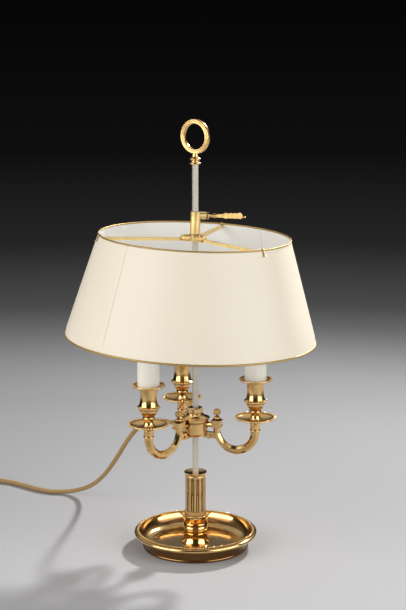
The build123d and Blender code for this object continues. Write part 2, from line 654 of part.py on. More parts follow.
# ---------------------------------------------------------------- arms
def make_arm(number, azimuth):
    side = upright_plane(azimuth)
    root = upright_plane(azimuth, ARM_ROOT_R)
    curve_r = (ARM_CIRCLE_R - ARM_ROOT_R) / 2
    curve_x = (ARM_CIRCLE_R + ARM_ROOT_R) / 2
    end_at = side.x_dir * ARM_CIRCLE_R
    scroll_z = BLOCK_Z + BLOCK_H - SCROLL_DROP_H
    gusset_z = scroll_z - 0.4 * SCROLL_R
    with BuildPart() as arm:
        with BuildLine(side) as bend:
            CenterArc((curve_x, ARM_CURVE_Z), curve_r, 180, 180)
        with BuildSketch(Plane(origin=bend.line @ 0, x_dir=side.z_dir, z_dir=bend.line % 0)) as start:
            RegularPolygon(ARM_START_AF / 2, 8, major_radius=False, rotation=22.5)
        with BuildSketch(Plane(origin=bend.line @ 1, x_dir=side.z_dir, z_dir=bend.line % 1)) as end:
            RegularPolygon(ARM_END_AF / 2, 8, major_radius=False, rotation=22.5)
        sweep(path=bend.line, multisection=True)
        extrude(start.sketch, amount=ARM_CURVE_Z - BLOCK_Z)
        extrude(end.sketch, amount=ARM_END_Z - ARM_CURVE_Z)
        for height, width, tall in (
            (BLOCK_Z, BLOCK_PLATE_W, BLOCK_PLATE_H),
            (BLOCK_Z, BLOCK_W, BLOCK_H),
            (BLOCK_Z + BLOCK_H - BLOCK_PLATE_H, BLOCK_PLATE_W, BLOCK_PLATE_H),
        ):
            with BuildSketch(Plane(origin=root.origin + Vector(0, 0, height), x_dir=side.x_dir)) as plan:
                Rectangle(width, width)
                chamfer(plan.vertices(), BLOCK_CHAMFER)
            extrude(amount=tall)
        with BuildSketch(radial_plane(azimuth, ARM_ROOT_R, TENON_Z)):
            Circle(TENON_R)
        extrude(amount=HUB_R - HUB_WALL - ARM_ROOT_R)
        with BuildSketch(side):
            with Locations((SCROLL_CENTRE_R, scroll_z)):
                Circle(SCROLL_R)
        extrude(amount=SCROLL_T / 2, both=True)
        with BuildSketch(side):
            with BuildLine():
                low = Line((HUB_FOOT_R, gusset_z), (ARM_ROOT_R, gusset_z - GUSSET_FALL_H))
                high_z = gusset_z + GUSSET_H
                high = SagittaArc((ARM_ROOT_R, high_z), (HUB_FOOT_R, high_z), 0.1 * GUSSET_H)
                Line(low @ 1, high @ 0)
                Line(high @ 1, low @ 0)
            make_face()
        extrude(amount=GUSSET_T / 2, both=True)
        pip_z = ARM_CURVE_Z - curve_r - ARM_END_AF / 2 + TINY_EDGE
        with Locations(side.from_local_coords(Vector(curve_x, pip_z))):
            Sphere(PIP_R)
        revolve(hub_outline(SEAT_GAP), axis=Axis.Z, mode=Mode.SUBTRACT)
        with BuildSketch(radial_plane(azimuth, ARM_ROOT_R - BLOCK_W / 2, TENON_Z)):
            Circle(TENON_R)
        extrude(amount=HUB_R - HUB_WALL - ARM_ROOT_R + BLOCK_W / 2)
        with BuildSketch(Plane(origin=end_at + Vector(0, 0, ARM_END_Z))):
            Circle(NIPPLE_R + SEAT_GAP)
        extrude(amount=-NIPPLE_DEPTH, mode=Mode.SUBTRACT)
    keep(arm.part, f"arm_{number}")

    knob_section = upright_plane(azimuth, ARM_ROOT_R, BLOCK_Z + BLOCK_H)
    with BuildPart() as knob:
        with BuildSketch(knob_section):
            with BuildLine():
                foot_r = 0.8 * KNOB_RING_R
                foot = Polyline((0, 0), (foot_r, 0), (foot_r, 0.05 * KNOB_H))
                ring = SagittaArc(foot @ 1, (foot_r, 0.27 * KNOB_H), foot_r - KNOB_RING_R)
                neck = SagittaArc(ring @ 1, (KNOB_NECK_R, 0.43 * KNOB_H), 0.3 * KNOB_NECK_R)
                ball_top = (0.5 * KNOB_NECK_R, 0.91 * KNOB_H)
                ball = ThreePointArc(neck @ 1, (KNOB_BALL_R, 0.66 * KNOB_H), ball_top)
                Polyline(ball @ 1, (0.3 * KNOB_NECK_R, 0.98 * KNOB_H), (0, KNOB_H), foot @ 0)
            make_face()
        revolve(axis=spin_axis(knob_section))
    keep(knob.part, f"arm_finial_{number}")


# ---------------------------------------------------------------- candle stack
def make_stack(number, azimuth):
    bore = NIPPLE_R + SEAT_GAP

    collar_section = upright_plane(azimuth, ARM_CIRCLE_R, ARM_END_Z)
    with BuildPart() as collar:
        with BuildSketch(collar_section):
            with BuildLine():
                foot_r = COLLAR_R - COLLAR_BEAD_OUT / 2
                low_top = 0.16 * COLLAR_H
                high_z = 0.72 * COLLAR_H
                high_top = 0.82 * COLLAR_H
                foot = Polyline((bore, COLLAR_H), (bore, 0), (foot_r, 0), (foot_r, 0.03 * COLLAR_H))
                low_bead = SagittaArc(foot @ 1, (foot_r, low_top), -COLLAR_BEAD_OUT)
                body = Polyline(low_bead @ 1, (COLLAR_R, 1.5 * low_top), (COLLAR_R, high_z))
                high_bead = SagittaArc(body @ 1, (COLLAR_R, high_top), -COLLAR_BEAD_OUT)
                flare = SagittaArc(high_bead @ 1, (COLLAR_TOP_R, COLLAR_H - TINY_EDGE), COLLAR_BEAD_OUT / 3)
                Polyline(flare @ 1, (COLLAR_TOP_R, COLLAR_H), foot @ 0)
            make_face()
        revolve(axis=spin_axis(collar_section))
    keep(collar.part, f"arm_collar_{number}")

    pan_section = upright_plane(azimuth, ARM_CIRCLE_R, PAN_Z)
    with BuildPart() as pan:
        with BuildSketch(pan_section):
            with BuildLine():
                under = Polyline((bore, PAN_T), (bore, 0), (PAN_FLAT_R, 0))
                slope = SagittaArc(under @ 1, (PAN_R, PAN_RISE), -0.6)
                top = SagittaArc((PAN_R - PAN_T / 2, PAN_RISE + PAN_T), (PAN_FLAT_R, PAN_T), 0.6)
                Line(slope @ 1, top @ 0)
                Line(top @ 1, under @ 0)
            make_face()
            with Locations((PAN_R - PAN_BEAD_R / 2, PAN_RISE + PAN_T - PAN_BEAD_R / 2)):
                Circle(PAN_BEAD_R)
        revolve(axis=spin_axis(pan_section))
    keep(pan.part, f"drip_pan_{number}")

    cup_section = upright_plane(azimuth, ARM_CIRCLE_R, CUP_Z)
    cavity_r = CUP_WAIST_R - 2.0
    with BuildPart() as cup:
        with BuildSketch(cup_section):
            with BuildLine():
                bowl_r = CUP_MOUTH_R - TINY_EDGE / 4
                knop_z = 0.35 * CUP_RIDGE_H
                knop_top = 0.5 * CUP_RIDGE_H
                lip_r = CUP_RIM_R - CUP_BEAD_R
                foot_edge = (CUP_FOOT_R, 0.07 * CUP_RIDGE_H)
                foot = Polyline((bore, CUP_RIDGE_H), (bore, 0), (CUP_FOOT_R, 0), foot_edge)
                neck = SagittaArc(foot @ 1, (CUP_NECK_R, knop_z), CUP_BEAD_R)
                knop = SagittaArc(neck @ 1, (CUP_NECK_R + 2 * TINY_EDGE, knop_top), -1.5 * CUP_BEAD_R)
                bowl = SagittaArc(knop @ 1, (bowl_r, 0.8 * CUP_RIDGE_H), -CUP_BEAD_R)
                step = Polyline(
                    bowl @ 1,
                    (bowl_r, 0.86 * CUP_RIDGE_H),
                    (CUP_RIDGE_R, CUP_RIDGE_H - 3 * CUP_BEAD_R),
                    (CUP_RIDGE_R, CUP_RIDGE_H - CUP_BEAD_R),
                    (CUP_RIDGE_R - 2 * CUP_BEAD_R, CUP_RIDGE_H + TINY_EDGE),
                )
                waist_top = (CUP_MOUTH_R, 0.925 * CUP_H)
                waist = ThreePointArc(step @ 1, (CUP_WAIST_R, 1.36 * CUP_RIDGE_H), waist_top)
                lip = SagittaArc(waist @ 1, (lip_r, CUP_H - CUP_RIM_T / 2), 2 * CUP_BEAD_R)
                rim = Polyline(lip @ 1, (lip_r, CUP_H + CUP_BEAD_R - TINY_EDGE), (CANDLE_R + 1, CUP_H))
                Polyline(rim @ 1, (cavity_r, CUP_H), (cavity_r, CUP_RIDGE_H), foot @ 0)
            make_face()
            with Locations((lip_r, CUP_H + 2 * TINY_EDGE)):
                Circle(CUP_BEAD_R)
        revolve(axis=spin_axis(cup_section))
    keep(cup.part, f"candle_cup_{number}")

    candle_plane = Plane(origin=upright_plane(azimuth, ARM_CIRCLE_R, CANDLE_Z).origin)
    with BuildPart() as candle:
        with BuildSketch(candle_plane):
            Circle(CANDLE_R)
            Circle(CANDLE_R - CANDLE_WALL, mode=Mode.SUBTRACT)
        extrude(amount=CANDLE_H)
    keep(candle.part, f"candle_sleeve_{number}")

    holder_top = CANDLE_H + HOLDER_LIP_H
    body_z = CANDLE_H - HOLDER_BODY_H
    mouth_r = BULB_CAP_R + 4 * SEAT_GAP
    mouth_z = holder_top - BULB_CAP_IN - 4 * SEAT_GAP
    holder_section = upright_plane(azimuth, ARM_CIRCLE_R, CANDLE_Z)
    with BuildPart() as holder:
        with BuildSketch(holder_section):
            with BuildLine():
                base = Polyline((bore, HOLDER_THREAD_H), (bore, 0), (HOLDER_R, 0), (HOLDER_R, HOLDER_BASE_T))
                stalk = Polyline(
                    base @ 1,
                    (HOLDER_STEM_R, HOLDER_BASE_T),
                    (HOLDER_STEM_R, body_z - HOLDER_STEM_R / 2),
                    (HOLDER_R, body_z),
                )
                lip_edge = (HOLDER_LIP_R, holder_top)
                lip = Polyline(stalk @ 1, (HOLDER_R, CANDLE_H), (HOLDER_LIP_R, CANDLE_H), lip_edge)
                mouth = Polyline(lip @ 1, (mouth_r, holder_top), (mouth_r, mouth_z), (0, mouth_z))
                Polyline(mouth @ 1, (0, HOLDER_THREAD_H), base @ 0)
            make_face()
        revolve(axis=spin_axis(holder_section))
    keep(holder.part, f"lampholder_{number}")

    bulb_section = upright_plane(azimuth, ARM_CIRCLE_R, CANDLE_Z + holder_top)
    with BuildPart() as bulb:
        with BuildSketch(bulb_section):
            with BuildLine():
                neck = Line((0, 0), (BULB_CAP_R - 1.5, 0))
                belly = Spline(
                    neck @ 1,
                    (BULB_R, BULB_H * 0.34),
                    (BULB_R * 0.5, BULB_H * 0.8),
                    (0, BULB_H),
                    tangents=((0.35, 1), (-0.6, 1)),
                )
                Line(belly @ 1, neck @ 0)
            make_face()
        revolve(axis=spin_axis(bulb_section))
    keep(bulb.part, f"bulb_{number}")


def make_stack_inserts():
    """Lamp caps and threaded tubes, one of each in every candle."""
    cap_z = CANDLE_Z + CANDLE_H + HOLDER_LIP_H - BULB_CAP_IN
    with BuildPart() as caps:
        with BuildSketch(Plane.XY.offset(cap_z)):
            with PolarLocations(ARM_CIRCLE_R, len(ARM_AZIMUTHS), ARM_AZIMUTHS[0]):
                Circle(BULB_CAP_R)
        extrude(amount=BULB_CAP_IN)
        chamfer(caps.faces().group_by(Axis.Z)[0].edges(), 1.5)
    keep(caps.part, "bulb_caps")

    with BuildPart() as nipples:
        with BuildSketch(Plane.XY.offset(ARM_END_Z - NIPPLE_DEPTH + SEAT_GAP)):
            with PolarLocations(ARM_CIRCLE_R, len(ARM_AZIMUTHS), ARM_AZIMUTHS[0]):
                Circle(NIPPLE_R)
                Circle(NIPPLE_BORE_R, mode=Mode.SUBTRACT)
        extrude(amount=CANDLE_Z + 5 - ARM_END_Z + NIPPLE_DEPTH)
    keep(nipples.part, "cup_nipples")


# ---------------------------------------------------------------- shade
def make_shade():
    wire_h = -TOP_WIRE_DROP_H
    turn_h = wire_h - SHADE_CONE_H
    lip_h = turn_h - SHADE_LIP_H
    lip_r = SHADE_CONE_R + SHADE_LIP_OUT
    top_h = wire_h - TOP_WIRE_R - SEAT_GAP
    end_h = lip_h + LIP_WIRE_R + SEAT_GAP
    half = SHADE_T / 2
    side = carrier_plane()
    with BuildPart() as skin:
        with BuildSketch(side):
            with BuildLine():
                outside = Polyline((SHADE_TOP_R + half, top_h), (SHADE_CONE_R + half, turn_h))
                lip_out = SagittaArc(outside @ 1, (lip_r + half, end_h), 0.4)
                lip_end = Line(lip_out @ 1, (lip_r - half, end_h))
                lip_in = SagittaArc(lip_end @ 1, (SHADE_CONE_R - half, turn_h), -0.4)
                Polyline(lip_in @ 1, (SHADE_TOP_R - half, top_h), outside @ 0)
            make_face()
        revolve(axis=spin_axis(side))
    keep(skin.part, "shade_skin")

    for name, radius, height, wire_r in (
        ("shade_top_ring", SHADE_TOP_R, wire_h, TOP_WIRE_R),
        ("shade_bottom_ring", lip_r, lip_h, LIP_WIRE_R),
    ):
        with BuildPart() as ring:
            with BuildSketch(side):
                with Locations((radius, height)):
                    Circle(wire_r)
            revolve(axis=spin_axis(side))
        keep(ring.part, name)


def make_spider():
    rosette_top = SLEEVE_SEAT - SLEEVE_LENGTH / 2
    bar_h = rosette_top - ROSETTE_T + BAR_H / 2
    bar_end = SHADE_TOP_R - TOP_WIRE_R - SEAT_GAP
    bore = sleeve_r + SEAT_GAP
    bar_length = bar_end - bore - 1
    hook_r = TOP_WIRE_R + SEAT_GAP + HOOK_T / 2
    skin_slope = degrees(atan2(SHADE_CONE_R - SHADE_TOP_R, SHADE_CONE_H - TOP_WIRE_R))
    with BuildPart() as spider:
        with BuildSketch(carrier.offset(rosette_top - ROSETTE_T)) as rosette:
            Circle(ROSETTE_BOSS_R)
            with PolarLocations(LOBE_CENTRE_R, len(SPIDER_AZIMUTHS), SPIDER_AZIMUTHS[0]):
                Circle(LOBE_R)
            fillet(rosette.vertices(), 3.0)
        extrude(amount=ROSETTE_T)
        with BuildSketch(carrier.offset(rosette_top)):
            Circle(COLLAR_RING_R)
        extrude(amount=COLLAR_RING_H, taper=20)
        with BuildSketch(carrier.offset(bar_h - BAR_H / 2)):
            with PolarLocations(bar_end - bar_length / 2, len(SPIDER_AZIMUTHS), SPIDER_AZIMUTHS[0]):
                Rectangle(bar_length, BAR_W)
        extrude(amount=BAR_H)
        for azimuth in SPIDER_AZIMUTHS:
            with BuildSketch(carrier_plane(azimuth)):
                with BuildLine():
                    rise = Line((bar_end - HOOK_T / 2, bar_h), (bar_end - HOOK_T / 2, -TOP_WIRE_DROP_H))
                    over = CenterArc((SHADE_TOP_R, -TOP_WIRE_DROP_H), hook_r, 180, skin_slope - 180)
                    down = PolarLine(over @ 1, HOOK_LEG_L, skin_slope - 90)
                    JernArc(down @ 1, down % 1, 1.6, 130)
                trace(line_width=HOOK_T)
            extrude(amount=HOOK_W / 2, both=True)
        with BuildSketch(carrier.offset(rosette_top - ROSETTE_T)):
            Circle(bore)
        extrude(amount=ROSETTE_T + COLLAR_RING_H, mode=Mode.SUBTRACT)
    keep(spider.part, "spider")


# ---------------------------------------------------------------- clamp and key
def key_plane(radius):
    """Plane square to the key's axis, facing outwards along the key. Its local y points down."""
    side = carrier_plane(0, radius, KEY_HEIGHT)
    return Plane(origin=side.origin, x_dir=side.z_dir, z_dir=side.x_dir)


def make_clamp():
    with BuildPart() as sleeve:
        with BuildSketch(carrier.offset(-SLEEVE_LENGTH / 2)):
            Circle(sleeve_r)
        extrude(amount=SLEEVE_LENGTH)
        with BuildSketch(key_plane(0)):
            Circle(BOSS_R)
        extrude(amount=BOSS_L)
        chamfer(sleeve.faces().sort_by(Axis(carrier_at, carrier_out))[-1].edges(), 0.8)
        with BuildSketch(carrier.offset(-SLEEVE_LENGTH / 2)):
            Circle(sleeve_bore_r)
        extrude(amount=SLEEVE_LENGTH, mode=Mode.SUBTRACT)
        with BuildSketch(key_plane(0)):
            Circle(KEY_THREAD_R)
        extrude(amount=BOSS_L, mode=Mode.SUBTRACT)
    keep(sleeve.part, "clamp_sleeve")

    lean = radians(LEAN)
    pad_x = (stem_half + PAD_GAP - (KEY_HEIGHT - PAD_R) * sin(lean)) / cos(lean)
    with BuildPart() as pad:
        with BuildSketch(key_plane(pad_x)):
            Circle(PAD_R)
        extrude(amount=PAD_T)
    keep(pad.part, "clamp_pad")

    screw_x = pad_x + PAD_T + SEAT_GAP
    flange_x = BOSS_L + FLANGE_GAP
    with BuildPart() as screw:
        with BuildSketch(key_plane(screw_x)):
            Circle(KEY_THREAD_R - RUN_CLEARANCE)
        extrude(amount=flange_x - screw_x)
        with BuildSketch(key_plane(flange_x)):
            Circle(FLANGE_R)
        extrude(amount=FLANGE_T)
        with BuildSketch(key_plane(flange_x + FLANGE_T)):
            Circle(KEY_STEM_R)
        extrude(amount=KEY_SHANK_L - flange_x - FLANGE_T)
    keep(screw.part, "key_screw")

    grip = carrier_plane(0, KEY_SHANK_L, KEY_HEIGHT)
    bump_r = 0.42 * KEY_GRIP_L / SCALLOPS
    widen = (KEY_GRIP_END_H - KEY_GRIP_ROOT_H) / KEY_GRIP_L
    bumps = []
    for i in range(SCALLOPS):
        along = KEY_GRIP_L - bump_r * (0.7 + 1.7 * i)
        edge = KEY_GRIP_ROOT_H + widen * along
        bumps.append((along, edge + SCALLOP_OUT - bump_r))
        bumps.append((along, bump_r - edge - SCALLOP_OUT / 2))
    with BuildPart() as handle:
        with BuildSketch(grip):
            with BuildLine():
                under = Line((0, -KEY_GRIP_ROOT_H), (KEY_GRIP_L, -KEY_GRIP_END_H))
                tip = SagittaArc(under @ 1, (KEY_GRIP_L, KEY_GRIP_END_H), -0.4 * KEY_GRIP_END_H)
                Polyline(tip @ 1, (0, KEY_GRIP_ROOT_H), under @ 0)
            make_face()
            with Locations(*bumps):
                Circle(bump_r)
        extrude(amount=KEY_GRIP_T / 2, both=True)
        with BuildSketch(key_plane(KEY_SHANK_L - KEY_SOCKET)):
            Circle(KEY_STEM_R + 1.0)
        extrude(amount=KEY_SOCKET + 1)
        with BuildSketch(key_plane(KEY_SHANK_L + KEY_GRIP_L - KEY_TIP_DROP_H)):
            with Locations((0, KEY_TIP_DROP_H)):
                Circle(KEY_TIP_R)
        extrude(amount=KEY_TIP_DROP_H + KEY_TIP_L)
        tip_x = KEY_SHANK_L + KEY_GRIP_L + KEY_TIP_L
        with Locations(carrier_plane(0, tip_x, KEY_HEIGHT - KEY_TIP_DROP_H).origin):
            Sphere(1.3 * KEY_TIP_R)
        with BuildSketch(key_plane(KEY_SHANK_L - KEY_SOCKET)):
            Circle(KEY_STEM_R + SEAT_GAP)
        extrude(amount=KEY_SOCKET, mode=Mode.SUBTRACT)
    keep(handle.part, "key_handle")


# ---------------------------------------------------------------- flex
def cord_tube(route, name):
    """Straight runs joined by arcs as large as the runs allow."""
    points = [Vector(*point) for point in route]
    radii = []
    for before, corner, after in zip(points, points[1:], points[2:]):
        inwards, outwards = corner - before, after - corner
        turn = radians(inwards.get_angle(outwards))
        radii.append(0.45 * min(inwards.length, outwards.length) / tan(turn / 2))
    with BuildPart() as tube:
        with BuildLine() as path:
            FilletPolyline(*points, radius=radii)
        with BuildSketch(Plane(origin=path.line @ 0, z_dir=path.line % 0)):
            Circle(CORD_D / 2)
        sweep(path=path.line)
    length = sum(edge.length for edge in path.line.edges())
    section = pi * CORD_D**2 / 4
    print(f"{name}: {length:.1f} mm, volume/section {tube.part.volume / section:.1f} mm")
    print("  radii", " ".join(f"{radius:.0f}" for radius in radii))
    keep(tube.part, name)


def make_switch():
    start, end = Vector(*LEAD_ROUTE[-1]), Vector(*TAIL_ROUTE[0])
    middle = (start + end) / 2
    along = (end - start).normalized()
    bed = Plane(origin=(middle.X, middle.Y, 0), x_dir=along)
    side = Plane(origin=(middle.X, middle.Y, ROCKER_AXIS_Z), x_dir=along, z_dir=along.cross(Vector(0, 0, 1)))
    length = (end - start).length
    well_l = ROCKER_L + 2 * ROCKER_GAP + 1.2
    with BuildPart() as body:
        with BuildSketch(bed):
            RectangleRounded(length, SWITCH_W, 7.0)
        extrude(amount=SWITCH_H)
        fillet(body.faces().sort_by(Axis.Z)[-1].edges(), 2.5)
        chamfer(body.faces().sort_by(Axis.Z)[0].edges(), 0.6)
        with BuildSketch(bed.offset(ROCKER_AXIS_Z - ROCKER_KEEL - ROCKER_GAP)):
            Rectangle(well_l, ROCKER_W + 2 * ROCKER_GAP)
        extrude(amount=SWITCH_H, mode=Mode.SUBTRACT)
        with BuildSketch(side):
            Circle(ROCKER_PIN_R + RUN_CLEARANCE)
        extrude(amount=ROCKER_W / 2 + 2 + RUN_CLEARANCE, both=True, mode=Mode.SUBTRACT)
    keep(body.part, "switch_body")

    half = ROCKER_L / 2
    with BuildPart() as rocker:
        with BuildSketch(side):
            with BuildLine():
                top = Polyline((-half, 4.6), (0, 3.4), (half, 4.6), (half, 0.5))
                Polyline(top @ 1, (3, -ROCKER_KEEL), (-3, -ROCKER_KEEL), (-half, 0.5), top @ 0)
            make_face()
        extrude(amount=ROCKER_W / 2, both=True)
        with BuildSketch(side):
            Circle(ROCKER_PIN_R)
        extrude(amount=ROCKER_W / 2 + 2, both=True)
    tilted = rocker.part.rotate(Axis(side.origin, side.z_dir), ROCKER_THROW / 2)
    keep(tilted, "switch_rocker")


def make_coil_and_plug():
    outer_r = COIL_TURN_R + CORD_D / 2

    def reach(half_width):
        """How far along its tangent a straight piece starts, so that it just clears the coil."""
        return sqrt((outer_r + COIL_GAP) ** 2 - (COIL_TURN_R - half_width) ** 2)

    lay = Vector(1, 0, 0).rotate(Axis.Z, LAY_AZ)
    near_side = Vector(0, 0, 1).cross(lay)
    tail_end = Vector(*TAIL_ROUTE[-1])
    centre = tail_end + lay * reach(CORD_D / 2) - near_side * COIL_TURN_R - Vector(0, 0, tail_end.Z)
    with BuildPart() as coil:
        with BuildSketch(Plane(origin=centre, x_dir=(1, 0, 0), z_dir=(0, -1, 0))):
            with Locations((outer_r - COIL_BUNDLE / 2, COIL_BUNDLE / 2)):
                RectangleRounded(COIL_BUNDLE, COIL_BUNDLE, CORD_D / 2 - 0.1)
        revolve(axis=Axis(centre, (0, 0, 1)))
    keep(coil.part, "cord_coil")

    heading = -lay
    across = -near_side
    start = centre + across * COIL_TURN_R + heading * reach(PLUG_RELIEF_R) + Vector(0, 0, PLUG_T / 2)
    nose = Plane(origin=start, x_dir=across, z_dir=heading)
    with BuildPart() as plug:
        with BuildSketch(nose):
            Circle(PLUG_RELIEF_R)
        extrude(amount=PLUG_RELIEF_L, taper=-3)
        with BuildSketch(nose.offset(PLUG_RELIEF_L)):
            RectangleRounded(PLUG_W, PLUG_T, 5.0)
        extrude(amount=PLUG_L)
        chamfer(plug.faces().sort_by(Axis(start, heading))[-1].edges(), 0.8)
    keep(plug.part, "plug_body")

    with BuildPart() as pins:
        with BuildSketch(nose.offset(PLUG_RELIEF_L + PLUG_L)):
            with Locations((-PIN_PITCH / 2, 0), (PIN_PITCH / 2, 0)):
                Circle(PIN_R)
        extrude(amount=PIN_L)
        chamfer(pins.faces().group_by(Axis(start, heading))[-1].edges(), 0.6)
    keep(pins.part, "plug_pins")


make_base()
make_column()
make_stem()
make_bracket()
for arm_number, arm_azimuth in enumerate(ARM_AZIMUTHS, start=1):
    make_arm(arm_number, arm_azimuth)
    make_stack(arm_number, arm_azimuth)
make_stack_inserts()
make_shade()
make_spider()
make_clamp()
cord_tube(LEAD_ROUTE, "cord_lead")
make_switch()
cord_tube(TAIL_ROUTE, "cord_tail")
make_coil_and_plug()
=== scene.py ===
"""Bouillotte lamp: finishes, beaded edges, painted shade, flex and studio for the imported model.

The file is laid out as an add-on whose operators each dress one piece or one group of like
pieces. Run as a script, it calls them all in order. Lengths are in metres.
"""

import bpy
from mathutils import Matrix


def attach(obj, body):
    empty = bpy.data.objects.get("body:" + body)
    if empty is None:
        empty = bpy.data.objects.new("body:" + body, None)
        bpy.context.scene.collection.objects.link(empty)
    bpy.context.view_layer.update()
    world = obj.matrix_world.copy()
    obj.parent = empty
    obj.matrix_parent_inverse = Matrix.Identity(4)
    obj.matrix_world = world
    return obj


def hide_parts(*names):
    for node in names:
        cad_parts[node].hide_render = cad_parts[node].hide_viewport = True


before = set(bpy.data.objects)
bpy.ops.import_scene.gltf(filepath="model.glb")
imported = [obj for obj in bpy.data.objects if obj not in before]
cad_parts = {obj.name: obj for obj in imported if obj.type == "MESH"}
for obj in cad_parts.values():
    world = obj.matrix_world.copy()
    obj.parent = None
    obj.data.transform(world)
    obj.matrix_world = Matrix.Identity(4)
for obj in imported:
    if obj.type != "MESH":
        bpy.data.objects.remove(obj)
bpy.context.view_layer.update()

from math import cos, pi, radians, sin

import bmesh
import bpy
from mathutils import Matrix, Vector

bl_info = {
    "name": "Bouillotte lamp",
    "version": (1, 0, 0),
    "blender": (4, 5, 0),
    "location": "3D View > Sidebar > Lamp",
    "description": "Dresses a three-light bouillotte lamp with brass, enamel and braided flex",
    "category": "Object",
}

MM = 0.001

# The corner points of the flex, as in the part's source.
LEAD_ROUTE = [
    (-0.0270, 0.0322, 0.1840),
    (-0.0451, 0.0535, 0.1840),
    (-0.0648, 0.0929, 0.1680),
    (-0.0781, 0.1330, 0.1320),
    (-0.0899, 0.1706, 0.0900),
    (-0.1028, 0.2126, 0.0500),
    (-0.1196, 0.2555, 0.0190),
    (-0.1467, 0.2848, 0.0045),
    (-0.1797, 0.2929, 0.0036),
    (-0.2050, 0.3213, 0.0035),
    (-0.2291, 0.3546, 0.0035),
    (-0.2510, 0.3710, 0.0039),
    (-0.2653, 0.3754, 0.0060),
    (-0.2789, 0.3785, 0.0060),
]
TAIL_ROUTE = [
    (-0.3374, 0.3920, 0.0060),
    (-0.3510, 0.3952, 0.0060),
    (-0.3651, 0.3985, 0.0035),
]
COIL_CENTRE = (-0.37993, 0.44862)
PLUG_NOSE = (-0.34326, 0.48685, 0.00685)
LAY_AZ = 167.0

# The leaning frame that the shade, its spider and its sleeve share.
LEAN = radians(2.4921)
CARRIER = Matrix(
    (
        (cos(LEAN), 0.0, sin(LEAN), 0.0),
        (0.0, 1.0, 0.0, 0.0),
        (-sin(LEAN), 0.0, cos(LEAN), 0.4873),
        (0.0, 0.0, 0.0, 1.0),
    )
)
ARM_AZIMUTHS = (90.0, 210.0, 330.0)
ARM_CIRCLE_R = 91.7  # mm, from the lamp's axis to a candle's
ARM_ROOT_R = 33.3  # mm, and to an arm's root block
ROSETTE_R = 11.6  # mm, from the stem to a lobe of the rosette
ROSETTE_TOP = -15.3  # mm, in the leaning frame
DISH_FLOOR_R = 75.5  # mm, where the dish's floor ends and its wall starts
FINIAL_Z = 0.5754  # m, the stem's upper end
RING_Z = 0.6152  # m, the lifting ring's axis
RING_TURN = radians(-50.0)  # the way that the ring faces
SEAM_AZIMUTHS = (-147.5, 32.5)

# The lens, and the level way that it looks along the floor.
LENS_AT = (-0.5283, -2.3381, 0.868)
LENS_HEADING, LENS_PITCH = radians(13.0), radians(11.76)
LENS_MM, SENSOR_MM = 99.0, 36.0
LENS_WAY = (0.225, 0.974, 0.0)

FLOOR_R = 5.4  # m
FLOOR_DROP = 0.2 * MM  # keeps the card clear of the felt
# The backdrop and the room, as heights of the view's direction and their colours.
LOWEST_VIEW = -0.4
BACKDROP = (
    (-0.36, "#C6C5C6"),
    (-0.273, "#B3B2B4"),
    (-0.239, "#8A898B"),
    (-0.204, "#4B4A4B"),
    (-0.168, "#262526"),
    (-0.115, "#100F0F"),
    (-0.03, "#060606"),
    (0.55, "#2E2E2E"),
)
ROOM = (
    (-0.36, "#C0BFC0"),
    (-0.2, "#A3A09C"),
    (-0.02, "#7A736A"),
    (0.12, "#3D3832"),
    (0.5, "#2E2C2A"),
)
# Where each light stands, what it looks at, and its size.
LIGHTS = {
    "key": ((1.41, 1.36, 1.59), (0, 0, 0.2), (0.2, 0.2)),
    "left_box": ((-1.85, -0.65, 1.0), (0, 0, 0.3), (2.1, 1.7)),
    "right_box": ((1.4, -1.35, 1.0), (0, 0, 0.3), (2.1, 1.7)),
}
RIGHT_BOX_SHARE = 0.88  # of the larger box's power

# What sets each brass finish apart: roughness, the openness where film and painted shade set in,
# its own colour, the height that painted shade darkens below, and the pitch of its chased ribs.
BRASSES = {
    "brass_dish": {"roughness": 0.1, "corner": (0.95, 0.5), "painted_shade_below_mm": 18.5},
    "brass_turned": {"roughness": 0.1, "corner": (0.8, 0.35)},
    "brass_cast": {"roughness": 0.2, "corner": (1.0, 0.78)},
    "brass_beads": {"roughness": 0.12, "corner": (0.9, 0.5)},
    "brass_ring": {"roughness": 0.2},
    "brass_edged": {"roughness": 0.12, "corner": (0.97, 0.6)},
    "brass_satin": {"roughness": 0.45, "corner": (0.95, 0.6), "own_light": "#EBCF8E"},
    "brass_chased_leaf": {"roughness": 0.2, "corner": (0.95, 0.6), "rib_mm": 2.6},
}


# ---------------------------------------------------------------- colours and nodes
def srgb(code):
    """An sRGB hex colour as the linear colour that shaders work in."""
    parts = [int(code[i : i + 2], 16) / 255 for i in (1, 3, 5)]
    return (*[p / 12.92 if p <= 0.04045 else ((p + 0.055) / 1.055) ** 2.4 for p in parts], 1.0)


def add_node(tree, kind, inputs=None, **settings):
    """Add one node with its settings, and feed its inputs."""
    node = tree.nodes.new(kind)
    for name, value in settings.items():
        setattr(node, name, value)
    feed(node, inputs or {})
    return node


def feed(node, inputs):
    """Set or link a node's inputs. A node given as a value feeds its first output in use."""
    for name, value in inputs.items():
        if isinstance(value, bpy.types.Node):
            value = next(output for output in value.outputs if output.enabled)
        if isinstance(value, bpy.types.NodeSocket):
            node.id_data.links.new(value, node.inputs[name])
        else:
            node.inputs[name].default_value = value


def new_finish(name, surface):
    """A material with its surface set, with its node tree and its shader."""
    finish = bpy.data.materials.new(name)
    finish.use_nodes = True
    tree = finish.node_tree
    shader = tree.nodes["Principled BSDF"]
    feed(shader, surface)
    return finish, tree, shader


def own_place(tree):
    """The object's own coordinates, in which every pattern is laid out."""
    return add_node(tree, "ShaderNodeTexCoord").outputs["Object"]


def noise(tree, place, size_mm, detail, **more):
    """Noise whose clouds are of a real size."""
    inputs = {"Vector": place, "Scale": 1 / (size_mm * MM), "Detail": detail, **more}
    return add_node(tree, "ShaderNodeTexNoise", inputs)


